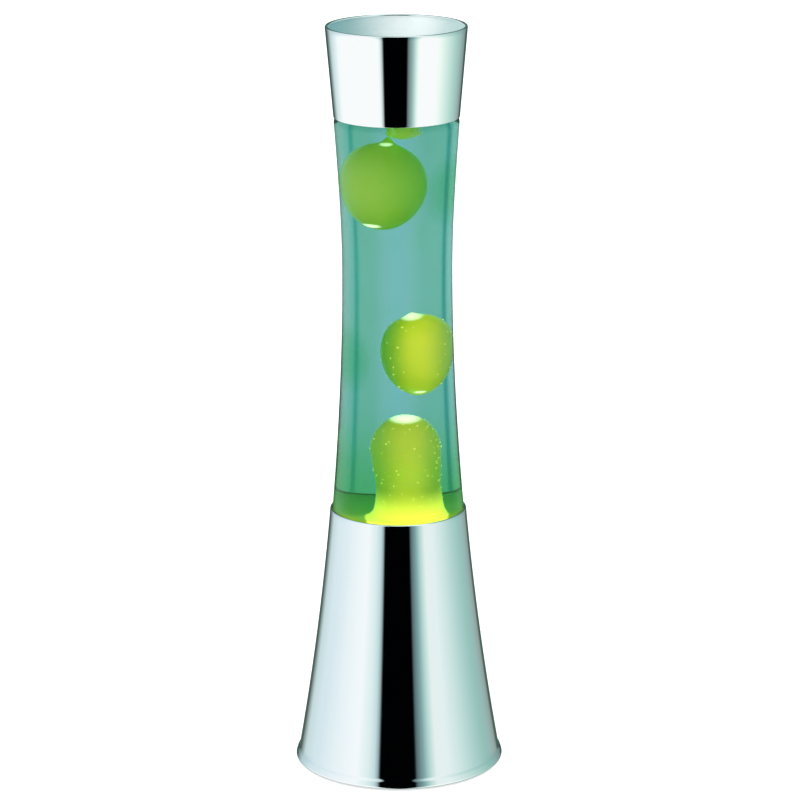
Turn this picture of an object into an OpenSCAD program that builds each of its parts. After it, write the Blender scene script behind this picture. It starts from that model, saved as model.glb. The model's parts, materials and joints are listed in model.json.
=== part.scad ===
// Lava lamp: a chromed flared base holds a reflector bulb under an hourglass bottle of coloured liquid and
// wax, and an open chromed cap sits over the bottle's neck.
// Millimetres, +Z up. The origin is on the table, on the lamp's axis. The cord hole is at the back, at +Y.

/* [Base] */
// Height of the base, from the table to the bottle's edge
base_h = 139.5; // [134:0.5:180]
// Width across the foot's rolled lip
foot_d = 110.2; // [100:0.2:140]
// Width of the base at its top edge
base_top_d = 71.8; // [68:0.2:88]
// Thickness of the chromed wall
base_wall = 1; // [0.7:0.1:1.6]
// How far the base's side bows in from a straight cone
base_bow = 1.4; // [0:0.1:4]
// Height above the lip's bottom at which the side starts to flare
lip_h = 5.5; // [5:0.5:12]
// How far the flare stands out
lip_flare = 1.1; // [0.4:0.1:3]
// Radius of the rolled bead under the foot
bead_r = 1.3; // [1.2:0.1:1.6]
// Height of the lip's bottom above the table
lip_clear = 1; // [0.5:0.1:2]

/* [Bottle] */
// Depth that the bottle nests in the base
nest_depth = 25.5; // [20:0.5:34]
// Height of the bottle's shoulder above the base
shoulder_up = 205.4; // [170:0.2:250]
// Height of the waist above the base
waist_up = 128.5; // [100:0.5:150]
// Width of the bottle at its waist
waist_d = 57.2; // [50:0.2:62]
// Width of the bottle at its shoulder
shoulder_d = 64.6; // [60:0.2:78]
// Outward slope of the bottle's side where it meets the base
foot_slope = 0.085; // [0.04:0.005:0.15]
// Outward slope of the bottle's side at the shoulder
top_slope = 0.07; // [0.03:0.005:0.12]
// Radius of the shoulder's curve
shoulder_r = 6; // [5:0.5:9]
// Slope of the glass from the shoulder to the neck, in degrees
shoulder_fall = 25; // [15:1:35]
// Thickness of the glass side
glass_wall = 3; // [2:0.1:3.8]
// Thickness of the glass floor
glass_floor = 4; // [3:0.1:6]
// Radius of the bottle's heel
heel_r = 11; // [8:0.5:14]
// Height of the push-up in the middle of the floor
punt_h = 3; // [1:0.5:5]
// Width of the crown finish on the neck
finish_d = 26.6; // [26:0.1:27]
// Width of the neck's bore
bore_d = 15.6; // [14:0.1:17]
// Height of the straight neck with its finish
neck_h = 7; // [6.5:0.5:10]

/* [Liquid and wax] */
// Height of the wax pool's surface above the base
pool_up = 0; // [0:0.5:20]
// Half width and height of the column of wax above the pool
column = [14, 51.5]; // [5:0.5:60]
// Place of the column's axis across the lamp
column_x = 3; // [-6:0.5:6]
// Half width and height of the lower blob
low_blob = [14.8, 43]; // [8:0.5:50]
// Place of the lower blob across the lamp, and of its lowest point above the base
low_blob_at = [8, 62.5]; // [0:0.5:120]
// Half width and height of the upper blob
high_blob = [17.2, 46]; // [8:0.5:50]
// Place of the upper blob across the lamp, and of its lowest point above the base
high_blob_at = [-5.6, 151]; // [-8:0.5:160]
// Half width and height of the wax under the shoulder
top_wax = [10, 11]; // [6:0.5:14]
// Place of the wax under the shoulder across the lamp, and of its lowest point above the base
top_wax_at = [4, 198.5]; // [0:0.5:205]
// Width of the heat-spreading coil and of its wire bundle
coil = [48, 4.4]; // [3:0.2:52]

/* [Cap] */
// Height of the cap
cap_h = 47.1; // [40:0.1:60]
// Width of the cap just below its hemmed rim
cap_top_d = 73; // [66:0.2:90]
// Thickness of the cap's sheet
cap_wall = 0.7; // [0.5:0.1:0.7]
// Radius of the hemmed rim
roll_r = 0.8; // [0.8:0.1:3]
// How far the cap's foot stands out past the shoulder
cap_overhang = 0.2; // [0:0.1:1]

/* [Bulb and holder] */
// Width of the reflector bulb
bulb_d = 39; // [36:0.5:48]
// Length of the bulb, from its tip to its face
bulb_len = 66; // [62:0.5:70]
// Air gap between the bulb's face and the bottle
bulb_gap = 14; // [11:0.5:20]
// Width and length of the bulb's screw shell
screw_shell = [13.9, 20]; // [13:0.1:22]
// Width and height of the lamp holder
holder = [27, 38]; // [26:1:42]

/* [Fittings] */
// Thickness of the bottom cover
cover_t = 1.2; // [0.8:0.1:2]
// Height of the bottom cover above the table
cover_z = 6; // [5:0.5:9]
// Height and width of the cord hole in the base's back
cord_hole = [17, 10]; // [9:0.5:24]
// Bore of the cord bushing
cord_bore = 6.4; // [5:0.2:7]
// Width of each pillar under the bottle's seat
pillar_d = 6; // [5:0.5:8]
// Distance of the pillars' middles in from the wall at the bottle's seat
pillar_in = 4.9; // [4.2:0.1:6]
// Width and height of the terminal block
block = [26, 11]; // [9:1:30]
// Distance of the cover's screws in from the foot's edge
lug_inset = 9.5; // [8:0.5:12]
// Distance of the rubber feet's middles in from the foot's edge
feet_inset = 11; // [9:0.5:14]

/* [Clearances] */
// Gap between pieces that lift, turn or drift past each other
move_gap = 0.3; // [0.2:0.05:0.4]
// Gap between pieces that are fitted together and stay
fit_gap = 0.05; // [0.02:0.01:0.1]

/* [Hidden] */
$fn = 96;

chrome = [0.86, 0.90, 0.91];
steel = [0.62, 0.64, 0.66];
brass = [0.83, 0.68, 0.35];
black = [0.10, 0.10, 0.11];
white = [0.92, 0.92, 0.90];
clear = [0.80, 0.93, 0.92, 0.35];
teal = [0.35, 0.72, 0.66, 0.5];
wax = [0.72, 0.85, 0.16];

// Base: outline
foot_r = foot_d/2;
top_r = base_top_d/2;
lip_z = lip_clear + lip_h;
lip_slope = 0.13;
side_r = foot_r - lip_flare - lip_slope*lip_h;
flare_z = lip_clear + 2.6*bead_r;
bead_in_z = lip_clear + 1.6*bead_r;
bead_step = 0.25;
side_top_z = base_h - base_wall;
function side_t(z) = (side_top_z - z)/(side_top_z - lip_z);
function base_r(z) = top_r + (side_r - top_r)*side_t(z) - 4*base_bow*side_t(z)*(1 - side_t(z));
function base_in_r(z) = base_r(z) - base_wall;
function ease(t) = t*t*(3 - 2*t);
function arc(cx, cz, r, from, to, n) =
  [for (i = [0:n]) let (a = from + (to - from)*i/n) [cx + r*cos(a), cz + r*sin(a)]];

// Bottle: outline, from the waist out to each end, as a curve that leaves the waist upright
bottle_r = top_r - base_wall - move_gap;
waist_r = waist_d/2;
neck_side_r = shoulder_d/2;
seat_z = base_h - nest_depth;
waist_z = base_h + waist_up;
shoulder_z = base_h + shoulder_up;
function swell(end_r, len, slope, t) = waist_r
  + (3*(end_r - waist_r) - slope*len)*t*t + (slope*len - 2*(end_r - waist_r))*t*t*t;
function glass_r(z) = z < base_h ? bottle_r
  : z < waist_z ? swell(bottle_r, waist_up, foot_slope, (waist_z - z)/waist_up)
  : swell(neck_side_r, shoulder_up - waist_up, top_slope, (z - waist_z)/(shoulder_up - waist_up));
side_steps = 30;
function side_points(inset) = [for (i = [0:side_steps])
  let (z = base_h + shoulder_up*i/side_steps) [glass_r(z) - inset, z]];
// Radius and height at which the shoulder's slope reaches radius r, for glass inset from the outside
shoulder_c = neck_side_r - shoulder_r;
function slope_end(inset, r) = let (q = shoulder_r - inset)
  [r, shoulder_z + q*cos(shoulder_fall) + (shoulder_c + q*sin(shoulder_fall) - r)*tan(shoulder_fall)];
finish_r = finish_d/2;
finish_step = 0.9;
neck_r = finish_r - finish_step;
neck_z = slope_end(0, neck_r)[1];
finish_z = neck_z + neck_h;
bore_r = bore_d/2;
ring_r = bottle_r - heel_r;
fill_r = 18;
fill_z = slope_end(glass_wall, fill_r)[1];

// Cap: outline
crown_t = 0.4;
liner_t = 0.8;
crown_top_z = finish_z + liner_t + crown_t;
crown_flare = 2.75;
crown_r = finish_r + crown_flare;
crown_skirt = 5.6;
cap_foot_r = neck_side_r + cap_overhang;
cap_z = shoulder_z + sqrt(pow(shoulder_r, 2) - pow(cap_foot_r - cap_wall - move_gap - shoulder_c, 2));
cap_top_z = cap_z + cap_h;
cap_top_r = cap_top_d/2;
roll_z = cap_top_z - roll_r;
function cap_in_r(z) = cap_foot_r - cap_wall + (cap_top_r - cap_foot_r)*(z - cap_z)/(roll_z - cap_z);
dish_t = 1;
dish_gap = 1.8;
dish_z = crown_top_z + dish_gap;

// Bulb and holder: heights
bulb_top_z = seat_z - bulb_gap;
tip_z = bulb_top_z - bulb_len;
shell_z = tip_z + 5;
shell_top_z = shell_z + screw_shell[1];
holder_z = tip_z - 14;
holder_top_z = holder_z + holder[1];
thread_r = screw_shell[0]/2;
thread_in_r = thread_r + move_gap + fit_gap;
cavity_r = thread_in_r + 1.3;
nipple_r = 5;
nipple_bore_r = 3.4;
bracket_t = 1.5;
nut_h = 3;
nipple_z = holder_z - bracket_t - nut_h - 0.3;
lead_r = 1.1;
lead_y = 1.9;
lead_top_z = holder_z + 7;
bend_r = 3;

// Fittings: places
cover_top_z = cover_z + cover_t;
cover_r = base_in_r(cover_top_z) - move_gap;
gasket_t = 1.5;
seat_t = 1.2;
ledge_z = seat_z - gasket_t;
pillar_at = base_in_r(ledge_z) - pillar_in;
lug_angles = [0, 120, 240];
pillar_angles = [30, 150, 270];
foot_angles = [45, 135, 225, 315];
lug_at = foot_r - lug_inset;
feet_at = foot_r - feet_inset;
bracket_x = [20, 26];
bracket_y = 8;
block_y = [24, 36];
pole_pitch = 8;
lead_z = cover_top_z + 5;
tag_x = -20;
tag_screw_y = block_y[0] + 1;

// A shape turned round the axis, from a list of [radius, height]
module turned(points) rotate_extrude() polygon(points);

module ring(outer_r, inner_r, z, h) translate([0, 0, z]) difference() {
  cylinder(r = outer_r, h = h);
  translate([0, 0, -1]) cylinder(r = inner_r, h = h + 2);
}

module around(angles, at) for (a = angles) rotate(a) translate([at, 0, 0]) children();

// A cross-recessed pan screw, with its head's underside at the origin and its shank along +Z
module pan_screw(d, length) {
  head_r = d*0.92;
  head_h = d*0.6;
  head_taper = 0.82;
  recess_l = head_r*1.1;
  recess_w = d*0.18;
  recess_h = head_h*0.55;
  difference() {
    union() {
      translate([0, 0, -head_h]) cylinder(r1 = head_r*head_taper, r2 = head_r, h = head_h);
      cylinder(d = d, h = length);
    }
    for (a = [0, 90]) rotate(a)
      translate([-recess_l/2, -recess_w/2, -head_h - 1]) cube([recess_l, recess_w, recess_h + 1]);
  }
}

// Base ----------------------------------------------------------------------------------------

module base_shell() color(chrome) difference() {
  turned(concat(
    arc(foot_r - bead_r, lip_clear + bead_r, bead_r, -180, 25, 12),
    [for (i = [0:6]) let (t = i/6, z = flare_z + (lip_z - flare_z)*t)
      [base_r(z) + (lip_flare - bead_step)*(1 - ease(t)), z]],
    [for (i = [1:12]) let (z = lip_z + (side_top_z - lip_z)*i/12) [base_r(z), z]],
    arc(top_r - base_wall, side_top_z, base_wall, 15, 90, 5),
    [for (i = [12:-1:0]) let (z = lip_z + (side_top_z - lip_z)*i/12) [base_in_r(z), z]],
    [[base_in_r(bead_in_z), bead_in_z]]
  ));
  translate([0, base_r(cord_hole[0]), cord_hole[0]]) rotate([90, 0, 0])
    cylinder(d = cord_hole[1], h = 20, center = true);
}

// Three angle brackets welded inside the wall, which the bottom cover screws into
module cover_lugs() color(steel) around(lug_angles, 0) difference() {
  intersection() {
    turned(concat(
      [[lug_at - 5, cover_top_z]],
      [for (z = [cover_top_z, cover_top_z + 6, cover_top_z + 12]) [base_in_r(z) - fit_gap, z]],
      [[base_in_r(cover_top_z + 12) - bracket_t, cover_top_z + 12],
       [base_in_r(cover_top_z + bracket_t) - bracket_t, cover_top_z + bracket_t],
       [lug_at - 5, cover_top_z + bracket_t]]
    ));
    translate([0, -6, 0]) cube([foot_d, 12, cover_top_z + 20]);
  }
  translate([lug_at, 0, cover_top_z - 1]) cylinder(d = 4 + 2*fit_gap, h = bracket_t + 2);
}

// Pressed ring that the bottle stands on, with a rim that centres it in the wall
module seat_ring() color(steel) difference() {
  turned([
    [bulb_d/2 + 1, ledge_z - seat_t],
    [base_in_r(ledge_z - seat_t) - fit_gap - 0.5, ledge_z - seat_t],
    [base_in_r(ledge_z) - fit_gap, ledge_z],
    [base_in_r(ledge_z + 7) - fit_gap, ledge_z + 7],
    [base_in_r(ledge_z + 7) - fit_gap - 1, ledge_z + 7],
    [base_in_r(ledge_z) - fit_gap - 1, ledge_z],
    [bulb_d/2 + 1, ledge_z]
  ]);
  around(pillar_angles, pillar_at) translate([0, 0, ledge_z - 5]) cylinder(d = 3.2, h = 10);
  around([for (a = pillar_angles, b = [-40, 40]) a + b], pillar_at)
    translate([0, 0, ledge_z - 5]) cylinder(d = 4.5, h = 10);
}

module seat_gasket() color(white) ring(ring_r + 3.5, bulb_d/2 + 1, ledge_z, gasket_t);

module support_pillars() color(steel) around(pillar_angles, pillar_at)
  translate([0, 0, cover_top_z]) difference() {
    cylinder(d = pillar_d, h = ledge_z - seat_t - cover_top_z);
    translate([0, 0, -1]) cylinder(d = 3 + 2*fit_gap, h = 11);
    translate([0, 0, ledge_z - seat_t - cover_top_z - 10]) cylinder(d = 3 + 2*fit_gap, h = 11);
  }

module pillar_screws() color(steel) around(pillar_angles, pillar_at) {
  translate([0, 0, cover_z]) pan_screw(3, cover_t + 8);
  translate([0, 0, ledge_z]) mirror([0, 0, 1]) pan_screw(3, seat_t + 8);
}

// Bottom cover, with a turned-down rim, vent slots, screw holes and foot holes
module bottom_cover() color(black) difference() {
  union() {
    translate([0, 0, cover_z]) cylinder(r = cover_r, h = cover_t);
    ring(cover_r, cover_r - 1.2, cover_z - 2, 2.5);
  }
  translate([0, 0, cover_z - 1]) {
    around(lug_angles, lug_at) cylinder(d = 4.4, h = cover_t + 2);
    around(pillar_angles, pillar_at) cylinder(d = 3.4, h = cover_t + 2);
    around([0, 180], bracket_x[1]) cylinder(d = 4.4, h = cover_t + 2);
    around(foot_angles, feet_at) cylinder(d = 5, h = cover_t + 2);
    translate([tag_x, tag_screw_y, 0]) cylinder(d = 3 + 2*fit_gap, h = cover_t + 2);
    around([for (i = [0:11]) 15 + 30*i], 14) translate([-5, -1.5, 0]) cube([10, 3, cover_t + 2]);
  }
}

module cover_screws() color(steel) around(lug_angles, lug_at)
  translate([0, 0, cover_z]) pan_screw(4, cover_t + 5);

module rubber_feet() color(black) around(foot_angles, feet_at) turned([
  [0, 0], [5.6, 0], [6, 0.4], [6, cover_z], [2.4, cover_z], [2.4, cover_top_z], [3.4, cover_top_z],
  [2.4, cover_top_z + 2.2], [1.2, cover_top_z + 3], [0, cover_top_z + 3]
]);

// Flanged rubber bushing in the cord hole, with a bore that the cord passes through
bushing_r = cord_hole[1]/2;
bushing_y = [base_in_r(cord_hole[0] + bushing_r + 1.5) - 2.8, foot_r - 0.4];
module cord_bushing() color(black) translate([0, 0, cord_hole[0]]) rotate([-90, 0, 0]) difference() {
  union() {
    translate([0, 0, bushing_y[0]]) cylinder(r = bushing_r - 0.1, h = bushing_y[1] - bushing_y[0]);
    translate([0, 0, bushing_y[0]]) cylinder(r = bushing_r + 1.5, h = 2);
    translate([0, 0, base_r(cord_hole[0] - bushing_r - 1.5) + 0.3])
      cylinder(r1 = bushing_r + 1.5, r2 = bushing_r + 0.9,
        h = bushing_y[1] - base_r(cord_hole[0] - bushing_r - 1.5) - 0.3);
  }
  translate([0, 0, bushing_y[0] - 1]) cylinder(d = cord_bore, h = 20);
}

// Bridge that carries the lamp holder above the bottom cover
module lamp_bracket() color(steel) difference() {
  union() {
    translate([-bracket_x[0], -bracket_y, holder_z - bracket_t])
      cube([2*bracket_x[0], 2*bracket_y, bracket_t]);
    for (s = [0, 1]) mirror([s, 0, 0]) {
      translate([bracket_x[0] - bracket_t, -bracket_y, cover_top_z])
        cube([bracket_t, 2*bracket_y, holder_z - cover_top_z]);
      translate([bracket_x[0] - bracket_t, -bracket_y, cover_top_z])
        cube([bracket_x[1] - bracket_x[0] + 6, 2*bracket_y, bracket_t]);
    }
  }
  translate([0, 0, holder_z - bracket_t - 1]) cylinder(r = nipple_r + fit_gap, h = bracket_t + 2);
  around([0, 180], bracket_x[1]) translate([0, 0, cover_top_z - 1])
    cylinder(d = 4 + 2*fit_gap, h = bracket_t + 2);
}

module bracket_screws() color(steel) around([0, 180], bracket_x[1])
  translate([0, 0, cover_z]) pan_screw(4, cover_t + 4);

module threaded_nipple() color(steel) ring(nipple_r, nipple_bore_r, nipple_z, holder_z + 4.5 - nipple_z);

module lock_nut() color(steel) translate([0, 0, holder_z - bracket_t - nut_h]) difference() {
  cylinder(d = 16, h = nut_h, $fn = 6);
  translate([0, 0, -1]) cylinder(r = nipple_r + fit_gap, h = nut_h + 2);
}

module holder_body() color(white) difference() {
  turned([[0, holder_z], [holder[0]/2 - 1, holder_z], [holder[0]/2, holder_z + 1],
    [holder[0]/2, holder_top_z - 6], [holder[0]/2 - 2, holder_top_z - 5],
    [holder[0]/2 - 2, holder_top_z - 0.8], [holder[0]/2 - 2.8, holder_top_z], [0, holder_top_z]]);
  translate([0, 0, holder_z - 1]) cylinder(r = nipple_r + fit_gap, h = holder[1]);
  translate([0, 0, holder_z + 4]) cylinder(r = cavity_r, h = holder[1]);
}

module holder_thread_shell() color(brass)
  ring(cavity_r - fit_gap, thread_in_r, shell_z - 1, holder_top_z - shell_z);

// Sprung tongue from the live lead to under the bulb's tip
strip_t = 0.6;
module holder_centre_contact() color(brass) {
  translate([-1.5, lead_y - 1.5, lead_top_z]) cube([3, 3, strip_t]);
  translate([-1.5, lead_y + 1.5 - strip_t, lead_top_z]) cube([3, strip_t, tip_z - move_gap - lead_top_z]);
  translate([-1.5, -2, tip_z - move_gap - strip_t]) cube([3, lead_y + 3.5, strip_t]);
}

// Strip from the neutral lead up to the thread shell
module holder_side_contact() color(brass) mirror([0, 1, 0]) {
  translate([-1.5, lead_y - 1, lead_top_z]) cube([3, thread_in_r + 0.9 - lead_y + 1, strip_t]);
  translate([-1.5, thread_in_r + 0.9 - strip_t, lead_top_z]) cube([3, strip_t, shell_z - 1 - lead_top_z]);
}

module terminal_block() color(white) difference() {
  translate([-block[0]/2, block_y[0], cover_top_z]) cube([block[0], block_y[1] - block_y[0], block[1]]);
  for (i = [-1:1]) translate([i*pole_pitch, 0, 0]) {
    translate([0, block_y[0] - 1, lead_z]) rotate([-90, 0, 0])
      cylinder(r = lead_r + fit_gap, h = block_y[1] - block_y[0] + 2);
    for (y = [block_y[0] + 3, block_y[1] - 3]) translate([0, y, lead_z + lead_r + 0.6])
      cylinder(d = 4 + 2*fit_gap, h = block[1]);
  }
}

module terminal_screws() color(brass) for (i = [-1:1], y = [block_y[0] + 3, block_y[1] - 3])
  translate([i*pole_pitch, y, lead_z + lead_r + 0.6]) difference() {
    cylinder(d = 4, h = 3.2);
    translate([-3, -0.4, 2.2]) cube([6, 0.8, 2]);
  }

// A quarter turn of lead at the origin's corner, from along X to along Y
module lead_bend() translate([bend_r, bend_r, 0]) rotate(180)
  rotate_extrude(angle = 90) translate([bend_r, 0]) circle(r = lead_r);

module lead_y_run(x, y_from, y_to) translate([x, y_from, lead_z]) rotate([-90, 0, 0])
  cylinder(r = lead_r, h = y_to - y_from);

// Insulated leads, from inside the terminal block across the floor and up through the nipple
lead_in_y = block_y[0] + 5;
module live_lead() color("saddlebrown") {
  lead_y_run(0, lead_y + bend_r, lead_in_y);
  translate([0, lead_y, lead_z]) rotate([0, -90, 0]) lead_bend();
  translate([0, lead_y, lead_z + bend_r]) cylinder(r = lead_r, h = lead_top_z - lead_z - bend_r);
}

module neutral_lead() color("steelblue") {
  lead_y_run(pole_pitch, bend_r - lead_y, lead_in_y);
  translate([pole_pitch, -lead_y, lead_z]) mirror([1, 0, 0]) lead_bend();
  translate([bend_r, -lead_y, lead_z]) rotate([0, 90, 0]) cylinder(r = lead_r, h = pole_pitch - 2*bend_r);
  translate([0, -lead_y, lead_z]) rotate([90, 0, 0]) lead_bend();
  translate([0, -lead_y, lead_z + bend_r]) cylinder(r = lead_r, h = lead_top_z - lead_z - bend_r);
}

// Earth lead, from its pole aside and down to a tag screwed to the bottom cover
tag_t = 0.8;
lead_turn_y = block_y[0] - 1.5 - bend_r;
module earth_lead() color("green") {
  lead_y_run(-pole_pitch, lead_turn_y + bend_r, lead_in_y);
  translate([-pole_pitch, lead_turn_y, lead_z]) mirror([1, 0, 0]) lead_bend();
  translate([tag_x + bend_r, lead_turn_y, lead_z]) rotate([0, 90, 0])
    cylinder(r = lead_r, h = -pole_pitch - tag_x - 2*bend_r);
  translate([tag_x, lead_turn_y, lead_z]) rotate([-90, 0, 0]) lead_bend();
  translate([tag_x, lead_turn_y, cover_top_z + tag_t])
    cylinder(r = lead_r, h = lead_z - bend_r - cover_top_z - tag_t);
}

module earth_tag() color(brass) difference() {
  translate([tag_x - 3, lead_turn_y - 2.5, cover_top_z]) cube([6, tag_screw_y + 6 - lead_turn_y, tag_t]);
  translate([tag_x, tag_screw_y, cover_top_z - 1]) cylinder(d = 3.2, h = 3);
}

module earth_screw() color(steel) translate([tag_x, tag_screw_y, cover_top_z + tag_t])
  mirror([0, 0, 1]) pan_screw(3, cover_t + tag_t + 2);

// Bulb ----------------------------------------------------------------------------------------

tip_r = 2.4;
module bulb_tip_contact() color(steel) turned([
  [0, tip_z], [1.4, tip_z], [2.1, tip_z + 0.4], [tip_r, tip_z + 1], [tip_r, tip_z + 3.4], [0, tip_z + 3.4]
]);

module bulb_insulator() color(black) difference() {
  turned([[0, tip_z + 1.2], [4, tip_z + 1.2], [thread_r - 0.9, shell_z - 0.3],
    [thread_r - 0.9, shell_z + 1.6], [0, shell_z + 1.6]]);
  translate([0, 0, tip_z]) cylinder(r = tip_r + 0.08, h = 3.4 + move_gap);
}

module bulb_screw_shell() color(steel) turned([
  [thread_r - 0.9 + fit_gap, shell_z], [thread_r, shell_z + 1], [thread_r, shell_top_z],
  [thread_r + 1.3, shell_top_z + 0.6], [thread_r + 1.3, shell_top_z + 2], [thread_r + 0.8, shell_top_z + 2],
  [thread_r - 0.5, shell_top_z], [thread_r - 0.5, shell_z + 2], [thread_r - 0.9 + fit_gap, shell_z + 1.6]
]);

bulb_wall = 0.8;
bulb_face = 12;
bulb_neck_z = shell_top_z + 2.3;
bowl_z = bulb_top_z - bulb_face;
bulb_neck_r = thread_r - 0.7;
function bowl(inset) = [for (i = [0:10]) let (t = i/10)
  [bulb_neck_r + 1.6 + (bulb_d/2 - bulb_neck_r - 1.6)*sin(90*t) - inset,
   bulb_neck_z + (bowl_z - bulb_neck_z)*t]];
function face(inset) = [for (i = [1:9]) let (a = 10*i)
  [(bulb_d/2 - inset)*cos(a), bowl_z + (bulb_face - inset)*sin(a)]];
module bulb_envelope() color(clear) turned(concat(
  [[bulb_neck_r - bulb_wall, shell_z + 11], [bulb_neck_r, shell_z + 11], [bulb_neck_r, shell_top_z]],
  bowl(0), face(0), [[0, bulb_top_z - bulb_wall]],
  [for (i = [8:-1:0]) face(bulb_wall)[i]], [for (i = [10:-1:0]) bowl(bulb_wall)[i]],
  [[bulb_neck_r - bulb_wall, shell_top_z]]
));

stem_z = shell_z + 11;
stem_top_z = shell_top_z + 12;
module bulb_stem() color(clear) turned([
  [0, stem_z], [bulb_neck_r - bulb_wall - fit_gap, stem_z], [bulb_neck_r - bulb_wall - fit_gap, stem_z + 1],
  [2.6, stem_z + 3], [1.6, stem_z + 8], [1.6, stem_top_z - 2], [2.2, stem_top_z - 1.4], [2.2, stem_top_z],
  [0, stem_top_z]
]);

filament_half = 6;
filament_z = stem_top_z + 10;
wire_lean = atan2(filament_half - 1.2, filament_z - stem_top_z);
module bulb_support_wires() color(steel) for (s = [0, 1]) mirror([s, 0, 0])
  translate([1.2, 0, stem_top_z + 0.2]) rotate([0, wire_lean, 0])
    cylinder(r = 0.3, h = (filament_z - stem_top_z - 0.9)/cos(wire_lean));

module bulb_filament() color("orange") translate([-filament_half, 0, filament_z])
  rotate([0, 90, 0]) cylinder(r = 0.4, h = 2*filament_half);

// Bottle and what it holds ----------------------------------------------------------------------

heel_z = seat_z + heel_r;
module glass_bottle() color(clear) turned(concat(
  [[0, seat_z + punt_h], [ring_r*0.5, seat_z + punt_h*0.75], [ring_r - 4, seat_z + 0.4],
   [ring_r - 2.5, seat_z]],
  arc(ring_r, heel_z, heel_r, -90, 0, 8),
  side_points(0),
  arc(shoulder_c, shoulder_z, shoulder_r, 10, 90 - shoulder_fall, 6),
  [[neck_r, neck_z], [neck_r, neck_z + 2.2], [finish_r, neck_z + 3.2], [finish_r, finish_z - 0.8],
   [finish_r - finish_step, finish_z], [bore_r, finish_z]],
  [slope_end(glass_wall, bore_r)],
  inside(0, 0, shoulder_z),
  [[0, seat_z + glass_floor + punt_h]]
));

// The bottle's inside wall from height top down to the floor, pulled in by gap
function inside(gap, from_z, top) = concat(
  top < shoulder_z ? []
    : arc(shoulder_c, shoulder_z, shoulder_r - glass_wall - gap, 90 - shoulder_fall, 10, 5),
  [for (i = [side_steps:-1:0]) let (p = side_points(glass_wall + gap)[i])
    if (p[1] >= from_z && p[1] <= top) p],
  from_z > 0 ? [] : arc(ring_r, heel_z, heel_r - glass_wall - gap, 0, -50, 4),
  from_z > 0 ? [] : [[ring_r*0.9, seat_z + glass_floor + gap],
                     [ring_r*0.5, seat_z + glass_floor + gap + punt_h*0.6]]
);

liquid_gap = 0.1;
pool_z = base_h + pool_up;
module pool_body() turned(concat(
  [[0, pool_z], [glass_r(pool_z) - glass_wall - liquid_gap, pool_z]],
  inside(liquid_gap, 0, pool_z - 0.5),
  [[0, seat_z + glass_floor + punt_h + liquid_gap]]
));

// A drop of wax: round below and drawn up to a soft point, grown by gap on every side
function drop(size, tip, gap) = [for (i = [0:24]) let (a = -90 + 7.5*i)
  [max(0, (size[0] + gap)*cos(a)*(1 - tip*sin(a))), size[1]/2 + (size[1]/2 + gap)*sin(a)]];
module wax_drop(size, at, tip, gap) translate([at[0], 0, base_h + at[1]]) turned(drop(size, tip, gap));

// The column that rises from the pool, waisted near its foot
column_flare = 1.25;
module wax_column(gap) translate([column_x, 0, pool_z]) turned(concat(
  [[0, -3], [column[0]*column_flare + gap, -3], [column[0]*column_flare + gap, 0]],
  [for (i = [1:6]) let (t = i/6) [column[0]*(column_flare - 0.37*sin(90*t)) + gap, 0.2*column[1]*t]],
  [for (i = [0:12]) let (a = 7.5*i)
    [(column[0] + gap)*(a < 45 ? 0.88 + 0.12*sin(2*a) : cos(2*(a - 45))),
     column[1]*(0.25 + 0.75*sin(a)) + gap*sin(a)]]
));

module coil_ring(gap) translate([0, 0, seat_z + glass_floor + coil[1]/2 + 0.7])
  rotate_extrude() translate([coil[0]/2, 0]) circle(d = coil[1] + 2*gap, $fn = 32);

module liquid() color(teal) difference() {
  turned(concat(
    [[0, pool_z + fit_gap], [0, fill_z], [fill_r - 0.4, fill_z]],
    inside(liquid_gap, pool_z + 0.5, shoulder_z + 1),
    [[glass_r(pool_z) - glass_wall - liquid_gap, pool_z + fit_gap]]
  ));
  wax_column(fit_gap);
  wax_drop(low_blob, low_blob_at, 0.12, move_gap);
  wax_drop(high_blob, high_blob_at, 0.06, move_gap);
  wax_drop(top_wax, top_wax_at, 0, fit_gap);
}

module wax_pool() color(wax) difference() {
  union() {
    pool_body();
    wax_column(0);
  }
  coil_ring(fit_gap);
}

module wax_top_blob() color(wax) wax_drop(top_wax, top_wax_at, 0, 0);

module wax_lower_blob() color(wax) wax_drop(low_blob, low_blob_at, 0.12, 0);

module wax_upper_blob() color(wax) wax_drop(high_blob, high_blob_at, 0.06, 0);

module heat_coil() color(steel) coil_ring(0);

module crown_liner() color(white) translate([0, 0, finish_z])
  cylinder(r = finish_r - finish_step, h = liner_t);

// Pressed crown cap with 21 flutes
flutes = 21;
crown_in_r = finish_r + 0.2;
module crown_cap() color(steel) difference() {
  turned([
    [0, crown_top_z], [crown_in_r - 0.9, crown_top_z], [crown_in_r + crown_t, crown_top_z - 1.4],
    [crown_r, crown_top_z - crown_skirt], [crown_r - crown_t*1.2, crown_top_z - crown_skirt],
    [crown_in_r, crown_top_z - 1.6], [crown_in_r - 1, crown_top_z - crown_t], [0, crown_top_z - crown_t]
  ]);
  around([for (i = [0:flutes - 1]) 360*i/flutes], crown_r + 0.5)
    translate([0, 0, crown_top_z - crown_skirt - 1]) cylinder(r = 0.95, h = crown_skirt - 0.8, $fn = 24);
}

// Cap -----------------------------------------------------------------------------------------

module cap_shell() color(chrome) turned(concat(
  [[cap_foot_r - cap_wall, cap_z], [cap_foot_r - 0.3, cap_z], [cap_foot_r, cap_z + 0.3]],
  arc(cap_top_r - roll_r, roll_z, roll_r, 0, 195, 16),
  arc(cap_top_r - roll_r, roll_z, roll_r - cap_wall, 195, 0, 12)
));

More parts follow.
